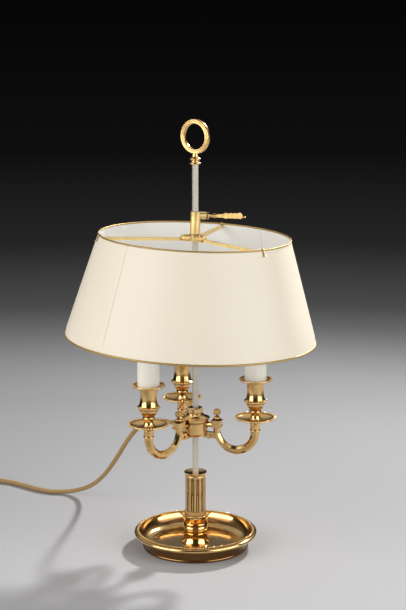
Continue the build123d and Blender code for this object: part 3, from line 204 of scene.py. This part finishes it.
def blend(tree, share, first, second):
    """A mix from the first colour to the second."""
    return add_node(tree, "ShaderNodeMix", {0: share, 6: first, 7: second}, data_type="RGBA")


def span(tree, value, start, stop, low=0.0, high=1.0, **more):
    """A value between start and stop, carried over to low and high, and held there."""
    inputs = {"Value": value, "From Min": start, "From Max": stop, "To Min": low, "To Max": high}
    return add_node(tree, "ShaderNodeMapRange", inputs, **more)


def relief(tree, height, strength, depth_mm, **more):
    """A bump of a real depth."""
    inputs = {"Height": height, "Strength": strength, "Distance": depth_mm * MM, **more}
    return add_node(tree, "ShaderNodeBump", inputs)


def sums(tree, operation, first, second=None):
    """One sum on one or two values."""
    inputs = {0: first} if second is None else {0: first, 1: second}
    return add_node(tree, "ShaderNodeMath", inputs, operation=operation)


def toned(colour, share):
    """The same colour with a share of its light."""
    return (*[c * share for c in colour[:3]], 1.0)


# ---------------------------------------------------------------- finishes
def lacquered_brass(
    name, light, dark, roughness, corner=None, painted_shade_below_mm=None, rib_mm=None
):
    """Cast and turned brass, buffed and lacquered: mirror bright where it stands proud, browner in
    corners with film and painted shade, and darkened under a rim with painted shade."""
    surface = {"Metallic": 1.0, "Coat Weight": 0.3, "Coat Roughness": 0.06}
    finish, tree, shader = new_finish(name, surface)
    place = own_place(tree)
    # Handling leaves clouds of about 16 mm in the lacquer.
    film_and_shade = span(tree, noise(tree, place, 16, 3.0), 0.35, 0.8, high=0.3)
    # Painted shade: ambient occlusion darkens corners and hollows, for film and for the shade
    # there.
    if corner:
        air = add_node(tree, "ShaderNodeAmbientOcclusion", {"Distance": 4 * MM}, samples=8)
        film_and_shade = sums(tree, "MAXIMUM", film_and_shade, span(tree, air.outputs["AO"], *corner))
    # Painted shade: the dish's outer wall under its rim is darkened, for the shade and dark
    # reflection there.
    if painted_shade_below_mm:
        height = add_node(tree, "ShaderNodeSeparateXYZ", {"Vector": place}).outputs["Z"]
        level = {0: place, 1: (1.0, 1.0, 0.0)}
        away = add_node(tree, "ShaderNodeVectorMath", level, operation="MULTIPLY")
        away = add_node(tree, "ShaderNodeVectorMath", {0: away}, operation="LENGTH")
        low = span(tree, height, (painted_shade_below_mm + 1.5) * MM, (painted_shade_below_mm - 1.5) * MM)
        outer = sums(tree, "GREATER_THAN", away.outputs["Value"], DISH_FLOOR_R * MM)
        under = sums(tree, "MULTIPLY", sums(tree, "MULTIPLY", low, outer), 0.85)
        film_and_shade = sums(tree, "MAXIMUM", film_and_shade, under)
    rub = span(tree, film_and_shade, 0.0, 1.0, roughness, roughness * 1.8 + 0.06)
    # The buff leaves a ripple of about 5 mm that only shows as a slight waver in reflections.
    bump = relief(tree, noise(tree, place, 5, 1.0), 0.1, 0.05)
    if rib_mm:
        # Chased ribs that slant across the leaf.
        slant = {"Vector": place, "Rotation": (0.0, radians(52), 0.0)}
        turn = add_node(tree, "ShaderNodeMapping", slant)
        wave = {"Vector": turn, "Scale": 0.314 / (rib_mm * MM), "Distortion": 1.2, "Detail": 1.0}
        bump = relief(tree, add_node(tree, "ShaderNodeTexWave", wave), 0.5, 0.3, Normal=bump)
    tone = blend(tree, film_and_shade, light, dark)
    feed(shader, {"Base Color": tone, "Roughness": rub, "Normal": bump})
    return finish


def drawn_metal(name, colour, roughness, metallic=1.0):
    """Bar, tube or pressing with the fine lengthwise lines of the die that it was drawn through."""
    finish, tree, shader = new_finish(name, {"Metallic": metallic})
    along = {"Vector": own_place(tree), "Scale": (1.0, 1.0, 0.02)}
    stretch = add_node(tree, "ShaderNodeMapping", along)
    # The die's lines are 0.1 mm apart; they are drawn 0.4 mm apart so that they show.
    lines = noise(tree, stretch, 0.4, 2.0)
    tone = blend(tree, lines, toned(colour, 0.96), colour)
    rub = span(tree, lines, 0.0, 1.0, roughness * 0.8, roughness * 1.2)
    bump = relief(tree, lines, 0.05, 0.02)
    feed(shader, {"Base Color": tone, "Roughness": rub, "Normal": bump})
    return finish


def stove_enamel(name, colour, roughness):
    """Sprayed and baked enamel on sheet steel: an even satin skin with a faint orange peel."""
    surface = {"Roughness": roughness, "Specular IOR Level": 0.35}
    finish, tree, shader = new_finish(name, surface)
    place = own_place(tree)
    # The spray lies a little unevenly, in clouds of about 60 mm.
    tone = blend(tree, noise(tree, place, 60, 2.0), toned(colour, 0.96), colour)
    # Real orange peel is about 1.5 mm across; it is drawn 2.5 mm so that it shows.
    bump = relief(tree, noise(tree, place, 2.5, 1.0), 0.12, 0.04)
    feed(shader, {"Base Color": tone, "Normal": bump})
    return finish


def moulded_plastic(name, colour, roughness):
    """Moulded ABS or thermoset with the fine spark-eroded grain of its tool."""
    finish, tree, shader = new_finish(name, {"Roughness": roughness})
    # Spark erosion leaves pits of about 0.1 mm; they are drawn 0.5 mm so that they show.
    grain = noise(tree, own_place(tree), 0.5, 2.0)
    tone = blend(tree, grain, toned(colour, 0.88), colour)
    feed(shader, {"Base Color": tone, "Normal": relief(tree, grain, 0.3, 0.03)})
    return finish


def opal_glass(name, colour, roughness):
    """Milk glass and milky plastic: light goes a little way in and comes out soft."""
    surface = {
        "Roughness": roughness,
        "Subsurface Weight": 0.3,
        "Subsurface Radius": (1.0, 0.95, 0.85),
        "Subsurface Scale": 3 * MM,
        "Coat Weight": 0.15,
    }
    finish, tree, shader = new_finish(name, surface)
    # The milk is thinner and thicker over about 18 mm.
    wave = noise(tree, own_place(tree), 18, 1.0)
    feed(shader, {"Base Color": blend(tree, wave, toned(colour, 0.95), colour)})
    return finish


def rayon_braid(name, light, dark):
    """Rayon braided over the flex: two crossing sets of glossy strands."""
    surface = {"Roughness": 0.45, "Sheen Weight": 0.2, "Sheen Roughness": 0.4}
    finish, tree, shader = new_finish(name, surface)
    # Strands of 0.7 mm climb round the cord; they are drawn twice as wide so that they show.
    around, per_metre = 10, 240
    along = add_node(tree, "ShaderNodeUVMap")
    split = add_node(tree, "ShaderNodeSeparateXYZ", {"Vector": along})
    lengthwise = sums(tree, "MULTIPLY", split.outputs["X"], per_metre * pi)
    round_it = sums(tree, "MULTIPLY", split.outputs["Y"], around * 2 * pi)
    strands = [
        sums(tree, "SINE", sums(tree, way, lengthwise, round_it)) for way in ("ADD", "SUBTRACT")
    ]
    # Painted shade: the valleys between strands are coloured darker, for the shade that falls
    # between them.
    height = span(tree, sums(tree, "MAXIMUM", *strands), -0.6, 1.0)
    tone = blend(tree, height, dark, light)
    feed(shader, {"Base Color": tone, "Normal": relief(tree, height, 0.6, 0.25)})
    return finish


def wool_felt(name, colour):
    """Pressed wool felt: matt, with fibres of about 0.6 mm lying every way."""
    finish, tree, shader = new_finish(name, {"Roughness": 0.95, "Sheen Weight": 0.4})
    fibre = noise(tree, own_place(tree), 0.6, 6.0, Distortion=1.5)
    tone = blend(tree, fibre, toned(colour, 0.6), colour)
    feed(shader, {"Base Color": tone, "Normal": relief(tree, fibre, 0.8, 0.3)})
    return finish


def sand_cast_iron(name, colour):
    """Grey iron from a sand mould, unmachined, with the print of 1.2 mm sand."""
    finish, tree, shader = new_finish(name, {"Metallic": 0.6, "Roughness": 0.7})
    grains = {"Vector": own_place(tree), "Scale": 1 / (1.2 * MM)}
    sand = add_node(tree, "ShaderNodeTexVoronoi", grains)
    tone = blend(tree, sand, colour, toned(colour, 0.6))
    feed(shader, {"Base Color": tone, "Normal": relief(tree, sand, 0.6, 0.2)})
    return finish


def dress(finish, *names):
    """Give CAD nodes one finish."""
    for name in names:
        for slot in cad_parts[name].material_slots:
            slot.link = "OBJECT"
            slot.material = finish


# ---------------------------------------------------------------- shapes
def new_piece(name, verts, faces, finishes, slot, body="stand", sharp=35.0):
    """A mesh object that rides on a body and is shaded smooth but for its sharp edges."""
    mesh = bpy.data.meshes.new(name)
    mesh.from_pydata([tuple(v) for v in verts], [], faces)
    build = bmesh.new()
    build.from_mesh(mesh)
    bmesh.ops.recalc_face_normals(build, faces=build.faces)
    build.to_mesh(mesh)
    build.free()
    mesh.shade_smooth()
    mesh.set_sharp_from_angle(angle=radians(sharp))
    mesh.update()
    piece = bpy.data.objects.new(name, mesh)
    bpy.context.scene.collection.objects.link(piece)
    for finish in finishes:
        mesh.materials.append(finish)
    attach(piece, body)
    return piece


def turned(profile, segments, place=Matrix()):
    """Verts and faces of a closed outline of (radius, height), in mm, turned round local Z."""
    count = len(profile)
    verts = [
        place @ (Vector((r * cos(2 * pi * s / segments), r * sin(2 * pi * s / segments), h)) * MM)
        for s in range(segments)
        for r, h in profile
    ]
    faces = []
    for s in range(segments):
        ahead = (s + 1) % segments
        for i in range(count):
            j = (i + 1) % count
            faces.append((s * count + i, ahead * count + i, ahead * count + j, s * count + j))
    return verts, faces


def arc(centre, radius, start, stop, steps=6):
    """Points of an arc in a profile, its angles in degrees."""
    turns = [radians(start + (stop - start) * i / steps) for i in range(steps + 1)]
    return [(centre[0] + radius * cos(t), centre[1] + radius * sin(t)) for t in turns]


def ball():
    """Verts and faces of a ball of radius 1."""
    mesh = bmesh.new()
    bmesh.ops.create_icosphere(mesh, subdivisions=2, radius=1.0)
    verts = [v.co.copy() for v in mesh.verts]
    faces = [tuple(v.index for v in f.verts) for f in mesh.faces]
    mesh.free()
    return verts, faces


def even(count, start=0.0, sweep=360.0):
    """Evenly spaced azimuths, in degrees."""
    return [start + sweep * i / count for i in range(count)]


def around_axis(radius, azimuth):
    """Where a point at a radius and azimuth lies."""
    return radius * cos(radians(azimuth)), radius * sin(radians(azimuth))


def bead_rows(name, rows, body="stand", place=Matrix()):
    """One piece of joined beads. A row is (centre, radius, azimuths, (radial, along, high)),
    in mm."""
    unit, unit_faces = ball()
    verts, faces = [], []
    for centre, radius, azimuths, size in rows:
        for azimuth in azimuths:
            turn = Matrix.Rotation(radians(azimuth), 4, "Z")
            start = len(verts)
            for v in unit:
                local = Vector((radius + v.x * size[0], v.y * size[1], v.z * size[2]))
                verts.append(place @ ((Vector(centre) + turn @ local) * MM))
            faces += [tuple(start + i for i in face) for face in unit_faces]
    return new_piece(name, verts, faces, [brass("brass_beads")], "brass", body, sharp=80)


def smooth_cord(name, points, diameter, finish):
    """A bevelled curve of one smooth spline with the given control points."""
    curve = bpy.data.curves.new(name, "CURVE")
    curve.dimensions = "3D"
    curve.bevel_depth = diameter / 2
    curve.bevel_resolution = 5
    curve.use_fill_caps = True
    spline = curve.splines.new("NURBS")
    spline.points.add(len(points) - 1)
    for point, at in zip(spline.points, points):
        point.co = (*at, 1.0)
    spline.order_u = 3
    spline.use_endpoint_u = True
    spline.resolution_u = 8
    curve.materials.append(finish)
    piece = bpy.data.objects.new(name, curve)
    bpy.context.scene.collection.objects.link(piece)
    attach(piece, "stand")
    return piece


# ---------------------------------------------------------------- what a user would change
class LampFinishes(bpy.types.PropertyGroup):
    """Colours of the lamp, and the thickness of its flex"""

    brass_bright: bpy.props.FloatVectorProperty(
        name="Brass", description="Buffed brass", subtype="COLOR", size=4, default=srgb("#F1C985")
    )
    # This colour is both the brass's film and its painted shade in corners and under the dish's
    # rim.
    brass_film_and_shade: bpy.props.FloatVectorProperty(
        name="Brass film",
        description="Browner film in the corners of the brass",
        subtype="COLOR",
        size=4,
        default=srgb("#6A3D12"),
    )
    shade_outside: bpy.props.FloatVectorProperty(
        name="Shade outside",
        description="Enamel outside the shade",
        subtype="COLOR",
        size=4,
        default=srgb("#F3E9D5"),
    )
    shade_inside: bpy.props.FloatVectorProperty(
        name="Shade inside",
        description="Enamel inside the shade",
        subtype="COLOR",
        size=4,
        default=srgb("#F8F8F4"),
    )
    cord_diameter: bpy.props.FloatProperty(
        name="Flex diameter", description="Over the braid", unit="LENGTH", default=7 * MM
    )


class LampStage(bpy.types.PropertyGroup):
    """Strength of the studio lights"""

    key_power: bpy.props.FloatProperty(
        name="Key light", description="Power of the key light", unit="POWER", default=66.0
    )
    fill_power: bpy.props.FloatProperty(
        name="Soft boxes", description="Power of the larger soft box", unit="POWER", default=38.0
    )


FINISH = {}


def finish_named(name, maker, *settings, **more):
    """The finish of that name, made the first time that it is asked for."""
    if name not in FINISH:
        FINISH[name] = maker(name, *settings, **more)
    return FINISH[name]


def brass(name):
    """One of the lamp's brass finishes, which share two colours unless one has its own."""
    colours = bpy.context.scene.lamp_finishes
    settings = dict(BRASSES[name])
    own_light = settings.pop("own_light", None)
    light = srgb(own_light) if own_light else tuple(colours.brass_bright)
    return finish_named(name, lacquered_brass, light, tuple(colours.brass_film_and_shade), **settings)


# ---------------------------------------------------------------- operators
class LAMP_OT_camera(bpy.types.Operator):
    """Place the camera"""

    bl_idname = "lamp.camera"
    bl_label = "Camera"

    def execute(self, context):
        data = bpy.data.cameras.new("camera")
        data.lens = LENS_MM
        data.sensor_width = SENSOR_MM
        camera = bpy.data.objects.new("camera", data)
        context.scene.collection.objects.link(camera)
        camera.location = LENS_AT
        heading, pitch = LENS_HEADING, LENS_PITCH
        forward = Vector((sin(heading) * cos(pitch), cos(heading) * cos(pitch), -sin(pitch)))
        camera.rotation_mode = "QUATERNION"
        camera.rotation_quaternion = forward.to_track_quat("-Z", "Y")
        context.scene.camera = camera
        return {"FINISHED"}


class LAMP_OT_flex(bpy.types.Operator):
    """Lay the braided flex from the bracket to the switch, and on to the coil and the plug"""

    bl_idname = "lamp.flex"
    bl_label = "Flex, switch and plug"

    def execute(self, context):
        diameter = context.scene.lamp_finishes.cord_diameter
        braid = finish_named("rayon_braid", rayon_braid, srgb("#B8945A"), srgb("#7A5A28"))
        lead = smooth_cord("flex_lead", LEAD_ROUTE, diameter, braid)
        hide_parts("cord_lead")
        supply = smooth_cord("flex_supply", self.coiled(diameter), diameter, braid)
        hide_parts("cord_tail", "cord_coil")
        case = finish_named("moulded_switch_case", moulded_plastic, srgb("#7A5F35"), 0.38)
        dress(case, "switch_body", "plug_body")
        rocker = finish_named("moulded_rocker", moulded_plastic, srgb("#5A4526"), 0.35)
        dress(rocker, "switch_rocker")
        dress(finish_named("nickel_plate", drawn_metal, srgb("#CFCBC2"), 0.22), "plug_pins")
        return {"FINISHED"}

    @staticmethod
    def coiled(diameter):
        """The tail, four and a half turns of two layers, and the run up to the plug."""
        outer = 0.0455
        low, high = 0.0035, 0.0105
        start_turn = LAY_AZ + 90.0
        per_turn = 16
        last_turn = 1620.0
        # angle turned, radius and height of the turn there
        stages = [
            (0, outer, low),
            (285, outer, low),
            (350, outer - diameter, low),
            (645, outer - diameter, low),
            (705, outer - 2 * diameter, low),
            (800, outer - 2 * diameter, low),
            (890, outer - diameter, high),
            (1170, outer - diameter, high),
            (1235, outer, high),
            (1600, outer, high),
            (1700, outer, high),
        ]
        points = list(TAIL_ROUTE)
        step = 360.0 / per_turn
        # The control points stand outside the turn that the spline makes of them.
        swell = 1 / cos(radians(step / 2))
        turned_by = step / 2
        while turned_by < last_turn:
            for (a0, r0, z0), (a1, r1, z1) in zip(stages, stages[1:]):
                if a0 <= turned_by <= a1:
                    part = (turned_by - a0) / (a1 - a0)
                    radius, height = r0 + (r1 - r0) * part, z0 + (z1 - z0) * part
                    break
            angle = radians(start_turn - turned_by)
            points.append(
                (
                    COIL_CENTRE[0] + radius * swell * cos(angle),
                    COIL_CENTRE[1] + radius * swell * sin(angle),
                    height,
                )
            )
            turned_by += step
        leave = radians(LAY_AZ + 180.0)
        nose = Vector(PLUG_NOSE)
        back = Vector((cos(leave), sin(leave), 0.0))
        points.append(tuple(nose - back * 0.010 + Vector((0, 0, 0.0008))))
        points.append(tuple(nose + back * 0.001))
        return points


class LAMP_OT_foot(bpy.types.Operator):
    """Finish the dish foot and bead its rim"""

    bl_idname = "lamp.foot"
    bl_label = "Dish foot"

    def execute(self, context):
        dress(brass("brass_dish"), "base_dish")
        rim = ((0, 0, 25.7), 86.0, even(140), (1.6, 1.5, 1.8))
        row = bead_rows("foot_beads", [rim])
        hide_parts("base_bead_border")
        dress(finish_named("wool_felt", wool_felt, srgb("#3F4A2C")), "base_felt")
        dress(finish_named("sand_cast_iron", sand_cast_iron, srgb("#4A4744")), "base_weight")
        zinc = finish_named("zinc_plated_steel", drawn_metal, srgb("#B9B7B0"), 0.35)
        dress(zinc, "stem_washer", "stem_nut", "hub_set_screw", "cup_nipples")
        return {"FINISHED"}


class LAMP_OT_column(bpy.types.Operator):
    """Finish the pedestal, the fluted column and the beaded ring between them"""

    bl_idname = "lamp.column"
    bl_label = "Column"

    def execute(self, context):
        dress(brass("brass_turned"), "pedestal", "column_cap", "column_bead_ring")
        dress(brass("brass_cast"), "fluted_column")
        bead_rows("column_beads", [((0, 0, 48.0), 15.9, even(32), (1.4, 1.25, 1.2))])
        return {"FINISHED"}


class LAMP_OT_stem(bpy.types.Operator):
    """Finish the square stem, and turn the ring with its two ridges and hollow"""

    bl_idname = "lamp.stem"
    bl_label = "Stem and ring"

    def execute(self, context):
        nickel = srgb("#D3CCBF")
        dress(finish_named("satin_nickel_bar", drawn_metal, nickel, 0.42, metallic=0.5), "stem")
        # The finial stands on the stem's end; the ring's own axis lies level.
        low = [(0, 0), (6.6, 0), *arc((7.2, 1.3), 1.1, -60, 100)]
        waist = [(6.2, 3.0), (5.7, 4.6), (6.2, 6.2)]
        high = [*arc((7.0, 7.7), 1.0, -100, 80), (5.9, 9.4), (4.9, 11.0)]
        neck = [(4.4, 12.8), (4.2, 16.0), (0, 16.0)]
        foot_place = Matrix.Translation((0, 0, FINIAL_Z))
        foot, foot_faces = turned(low + waist + high + neck, 48, foot_place)
        # Half of the ring's section: an outer ridge, a hollow and an inner ridge.
        ridge, hollow = 1.35, 1.3
        half = arc((23.35, 1.8), ridge, 0, 125) + arc((21.5, 3.9), hollow, -40, -140)
        half += arc((19.65, 1.8), ridge, 55, 180)
        section = half + [(r, -h) for r, h in reversed(half)]
        place = Matrix(
            (
                (cos(RING_TURN), 0.0, sin(RING_TURN), 0.0),
                (sin(RING_TURN), 0.0, -cos(RING_TURN), 0.0),
                (0.0, 1.0, 0.0, RING_Z),
                (0.0, 0.0, 0.0, 1.0),
            )
        )
        widen = 0.1  # mm
        ring, ring_faces = turned([(r + widen, h) for r, h in section], 96, place)
        start = len(foot)
        faces = foot_faces + [tuple(start + i for i in face) for face in ring_faces]
        metal = [brass("brass_ring")]
        piece = new_piece("lifting_ring", foot + ring, faces, metal, "brass", sharp=50)
        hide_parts("ring_finial")
        return {"FINISHED"}


class LAMP_OT_bracket(bpy.types.Operator):
    """Finish the hub, its cover and the three arms, and bead the knobs"""

    bl_idname = "lamp.bracket"
    bl_label = "Bracket and arms"

    def execute(self, context):
        turned_brass, cast_brass = brass("brass_turned"), brass("brass_cast")
        dress(cast_brass, "bracket_hub", "bracket_crown")
        dress(turned_brass, "bracket_cover", "cord_gland")
        # A knob's rows: height, radius, beads and the first bead's azimuth.
        knob = ((207.4, 4.2, 8, 0), (209.7, 4.9, 8, 22), (211.9, 4.3, 8, 0), (213.7, 2.9, 6, 22))
        rows = []
        for number, azimuth in enumerate(ARM_AZIMUTHS, start=1):
            dress(turned_brass, f"arm_{number}", f"arm_collar_{number}")
            dress(cast_brass, f"arm_finial_{number}")
            x, y = around_axis(ARM_ROOT_R, azimuth)
            for z, radius, count, start in knob:
                rows.append(((x, y, z), radius, even(count, start), (1.1, 1.35, 1.2)))
        bead_rows("knob_beads", rows)
        block = finish_named("moulded_terminal", moulded_plastic, srgb("#EDEAE2"), 0.4)
        dress(block, "terminal_block")
        return {"FINISHED"}


class LAMP_OT_lights(bpy.types.Operator):
    """Finish the drip pans, cups, candle sleeves and bulbs, and bead their edges"""

    bl_idname = "lamp.lights"
    bl_label = "Candle lights"

    def execute(self, context):
        finish = brass("brass_edged")
        rows = []
        for azimuth in ARM_AZIMUTHS:
            x, y = around_axis(ARM_CIRCLE_R, azimuth)
            rows.append(((x, y, 206.8), 28.1, even(42), (1.8, 1.45, 1.75)))
            rows.append(((x, y, 264.5), 23.0, even(38), (1.6, 1.3, 1.6)))
            rows.append(((x, y, 231.7), 15.9, even(32), (1.2, 1.2, 1.2)))
        bead_rows("light_beads", rows)
        sleeve = finish_named("milky_candle_sleeve", opal_glass, srgb("#F6F2E6"), 0.4)
        holder = finish_named("moulded_lampholder", moulded_plastic, srgb("#F2EEE4"), 0.35)
        bulb = finish_named("opal_bulb", opal_glass, srgb("#F4F1EA"), 0.16)
        for number in (1, 2, 3):
            dress(finish, f"drip_pan_{number}", f"candle_cup_{number}")
            dress(sleeve, f"candle_sleeve_{number}")
            dress(holder, f"lampholder_{number}")
            dress(bulb, f"bulb_{number}")
        dress(finish_named("spun_aluminium", drawn_metal, srgb("#D0D0CC"), 0.3), "bulb_caps")
        return {"FINISHED"}


class LAMP_OT_shade(bpy.types.Operator):
    """Make the enamelled shade with its lapped seams and gilt edges"""

    bl_idname = "lamp.shade"
    bl_label = "Shade"

    def execute(self, context):
        colours = context.scene.lamp_finishes
        outer, inner = tuple(colours.shade_outside), tuple(colours.shade_inside)
        cream = finish_named("stove_enamel_cream", stove_enamel, outer, 0.42)
        white = finish_named("stove_enamel_white", stove_enamel, inner, 0.5)
        cone = [(139.75, -17.8), (150.3, -52.5), (160.8, -87.2), (171.2, -121.8), (181.45, -156.0)]
        outside = cone + [(182.05, -159.3), (183.1, -164.3)]
        sheet = 0.8  # mm thick
        profile = outside + [(r - sheet, h) for r, h in reversed(outside)]
        verts, faces = turned(profile, 240, CARRIER)
        paint = ("shade_paint", "shade_carrier", 40)  # slot, body and sharpest smooth angle
        skin = new_piece("shade_sheet", verts, faces, [cream, white], *paint)
        count = len(profile)
        for i, face in enumerate(skin.data.polygons):
            face.material_index = 0 if i % count < len(outside) - 1 else 1
        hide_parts("shade_skin")
        # The sheet is in two halves, which lap by 8 mm at the seams. Rises are in mm.
        for name, rise, finish in (("outer_seams", 0.6, cream), ("inner_seams", -1.5, white)):
            verts, faces = [], []
            for azimuth in SEAM_AZIMUTHS:
                seam, seam_faces = self.lap(cone, azimuth, rise)
                faces += [tuple(len(verts) + i for i in face) for face in seam_faces]
                verts += seam
            new_piece(name, verts, faces, [finish], *paint)
        gilt = finish_named("gilt_paint", drawn_metal, srgb("#B99A5B"), 0.5, metallic=0.7)
        dress(gilt, "shade_top_ring", "shade_bottom_ring")
        return {"FINISHED"}

    @staticmethod
    def lap(cone, azimuth, rise, width=8.0, steps=6):
        """Verts and faces of a strip that stands off the cone by a small rise, closed to it."""
        verts, faces = [], []
        for r, h in cone:
            for i in range(-1, steps + 2):
                inside = 0 <= i <= steps
                turn = radians(azimuth) + width / r * min(max(i, 0), steps) / steps
                reach = r + rise if inside else r - 0.4
                verts.append(CARRIER @ (Vector((reach * cos(turn), reach * sin(turn), h)) * MM))
        row = steps + 3
        for k in range(len(cone) - 1):
            for i in range(row - 1):
                face = (k * row + i, k * row + i + 1, (k + 1) * row + i + 1, (k + 1) * row + i)
                faces.append(face if rise < 0 else face[::-1])
        return verts, faces


class LAMP_OT_clamp(bpy.types.Operator):
    """Finish the spider, the sliding sleeve and the leaf key"""

    bl_idname = "lamp.clamp"
    bl_label = "Spider, sleeve and key"

    def execute(self, context):
        dress(brass("brass_satin"), "clamp_sleeve", "clamp_pad", "spider")
        dress(brass("brass_turned"), "key_screw")
        # Each lobe of the rosette carries a flower, and gadroons run round its edge.
        rows = []
        for azimuth in (180.0, 60.0, -60.0):
            x, y = around_axis(ROSETTE_R, azimuth)
            rows.append(((x, y, ROSETTE_TOP), 3.5, even(8), (1.9, 1.25, 1.0)))
            rows.append(((x, y, ROSETTE_TOP + 0.2), 0.0, [0.0], (1.7, 1.7, 1.6)))
            gadroons = even(12, azimuth - 100, 218)
            rows.append(((x, y, ROSETTE_TOP - 3.6), 8.4, gadroons, (1.2, 1.6, 3.4)))
        bead_rows("rosette_leaves", rows, "shade_carrier", CARRIER)
        dress(brass("brass_chased_leaf"), "key_handle")
        return {"FINISHED"}


class LAMP_OT_studio(bpy.types.Operator):
    """Lay the pale floor, hang the graded backdrop and set the soft lights"""

    bl_idname = "lamp.studio"
    bl_label = "Studio"

    def execute(self, context):
        scene = context.scene
        scene.view_settings.view_transform = "Standard"
        world = bpy.data.worlds.new("studio")
        world.use_nodes = True
        tree = world.node_tree
        way = add_node(tree, "ShaderNodeTexCoord").outputs["Generated"]
        along = add_node(tree, "ShaderNodeSeparateXYZ", {"Vector": way}).outputs
        share = span(tree, along["Z"], LOWEST_VIEW, LOWEST_VIEW + 1.0)
        grades = []
        for stops in (BACKDROP, ROOM):
            grade = add_node(tree, "ShaderNodeValToRGB", {"Fac": share})
            ramp = grade.color_ramp
            while len(ramp.elements) < len(stops):
                ramp.elements.new(0.5)
            for element, (height, code) in zip(ramp.elements, stops):
                element.position = height - LOWEST_VIEW
                element.color = srgb(code)
            grades.append(grade)
        # The room in front of the lamp is warmer and less dark than the backdrop.
        walls = blend(tree, span(tree, along["Y"], 0.45, 0.0), *grades)
        # A pale ceiling stands behind and above the lamp, for the brass to mirror.
        behind, above = span(tree, along["Y"], -0.1, 0.5), span(tree, along["Z"], 0.26, 0.5)
        ceiling = sums(tree, "MULTIPLY", behind, above)
        feed(tree.nodes["Background"], {"Color": blend(tree, ceiling, walls, srgb("#A9A8A5"))})
        scene.world = world

        surface = {"Roughness": 0.85, "Specular IOR Level": 0.1}
        finish, tree, shader = new_finish("matt_card", surface)
        place = own_place(tree)
        facing = {0: place, 1: LENS_WAY}
        depth = add_node(tree, "ShaderNodeVectorMath", facing, operation="DOT_PRODUCT")
        depth = depth.outputs["Value"]
        # The card fades into the backdrop, soon behind the lamp and much later in front of it.
        away = add_node(tree, "ShaderNodeVectorMath", {0: place}, operation="LENGTH")
        near = span(tree, depth, -0.6, 0.0, 0.3, 1.0)
        away = sums(tree, "MULTIPLY", away.outputs["Value"], near)
        fade = span(tree, away, 0.55, 1.6, 1.0, 0.0, interpolation_type="SMOOTHSTEP")
        # The card's own speck is about 1 mm.
        pale = srgb("#BDBCBD")
        tone = blend(tree, noise(tree, place, 1.0, 2.0), toned(pale, 0.97), pale)
        # Painted shade: the card is darkened away from the lens, for light falling off towards the
        # back.
        graded = {0: 1.0, 6: tone, 7: span(tree, depth, -0.25, 0.85, 0.93, 0.56)}
        tone = add_node(
            tree, "ShaderNodeMix", graded, data_type="RGBA", blend_type="MULTIPLY"
        )
        feed(shader, {"Base Color": tone, "Alpha": fade})
        mesh = bpy.data.meshes.new("floor")
        sides = 64
        turns = [2 * pi * i / sides for i in range(sides)]
        edge = [(FLOOR_R * cos(turn), FLOOR_R * sin(turn), 0.0) for turn in turns]
        mesh.from_pydata(edge, [], [tuple(range(sides))])
        mesh.materials.append(finish)
        floor = bpy.data.objects.new("floor", mesh)
        scene.collection.objects.link(floor)
        floor.location.z = -FLOOR_DROP

        fill = scene.lamp_stage.fill_power
        powers = (scene.lamp_stage.key_power, fill, RIGHT_BOX_SHARE * fill)
        for (name, (at, aim, size)), power in zip(LIGHTS.items(), powers):
            self.softbox(name, at, aim, size, power)
        return {"FINISHED"}

    @staticmethod
    def softbox(name, at, aim, size, power):
        """A rectangular soft light that looks at a point."""
        data = bpy.data.lights.new(name, "AREA")
        data.shape = "RECTANGLE"
        data.size, data.size_y = size
        data.energy = power
        lamp = bpy.data.objects.new(name, data)
        bpy.context.scene.collection.objects.link(lamp)
        lamp.location = at
        lamp.rotation_mode = "QUATERNION"
        lamp.rotation_quaternion = (Vector(aim) - Vector(at)).to_track_quat("-Z", "Y")


class LAMP_PT_panel(bpy.types.Panel):
    """The lamp's pieces, in the order in which they are made"""

    bl_idname = "LAMP_PT_panel"
    bl_label = "Bouillotte lamp"
    bl_space_type = "VIEW_3D"
    bl_region_type = "UI"
    bl_category = "Lamp"

    def draw(self, context):
        finishes = context.scene.lamp_finishes
        colours = ("brass_bright", "brass_film_and_shade", "shade_outside", "shade_inside")
        for name in (*colours, "cord_diameter"):
            self.layout.prop(finishes, name)
        for name in ("key_power", "fill_power"):
            self.layout.prop(context.scene.lamp_stage, name)
        for operator in OPERATORS:
            self.layout.operator(operator.bl_idname)


OPERATORS = (
    LAMP_OT_camera,
    LAMP_OT_flex,
    LAMP_OT_foot,
    LAMP_OT_column,
    LAMP_OT_stem,
    LAMP_OT_bracket,
    LAMP_OT_lights,
    LAMP_OT_shade,
    LAMP_OT_clamp,
    LAMP_OT_studio,
)
GROUPS = {"lamp_finishes": LampFinishes, "lamp_stage": LampStage}


def register():
    for group in GROUPS.values():
        bpy.utils.register_class(group)
    for name, group in GROUPS.items():
        setattr(bpy.types.Scene, name, bpy.props.PointerProperty(type=group))
    for item in (*OPERATORS, LAMP_PT_panel):
        bpy.utils.register_class(item)


def unregister():
    for item in (LAMP_PT_panel, *reversed(OPERATORS)):
        bpy.utils.unregister_class(item)
    for name in GROUPS:
        delattr(bpy.types.Scene, name)
    for group in GROUPS.values():
        bpy.utils.unregister_class(group)


def main():
    register()
    for operator in OPERATORS:
        group, name = operator.bl_idname.split(".")
        getattr(getattr(bpy.ops, group), name)()


if __name__ == "__main__":
    main()
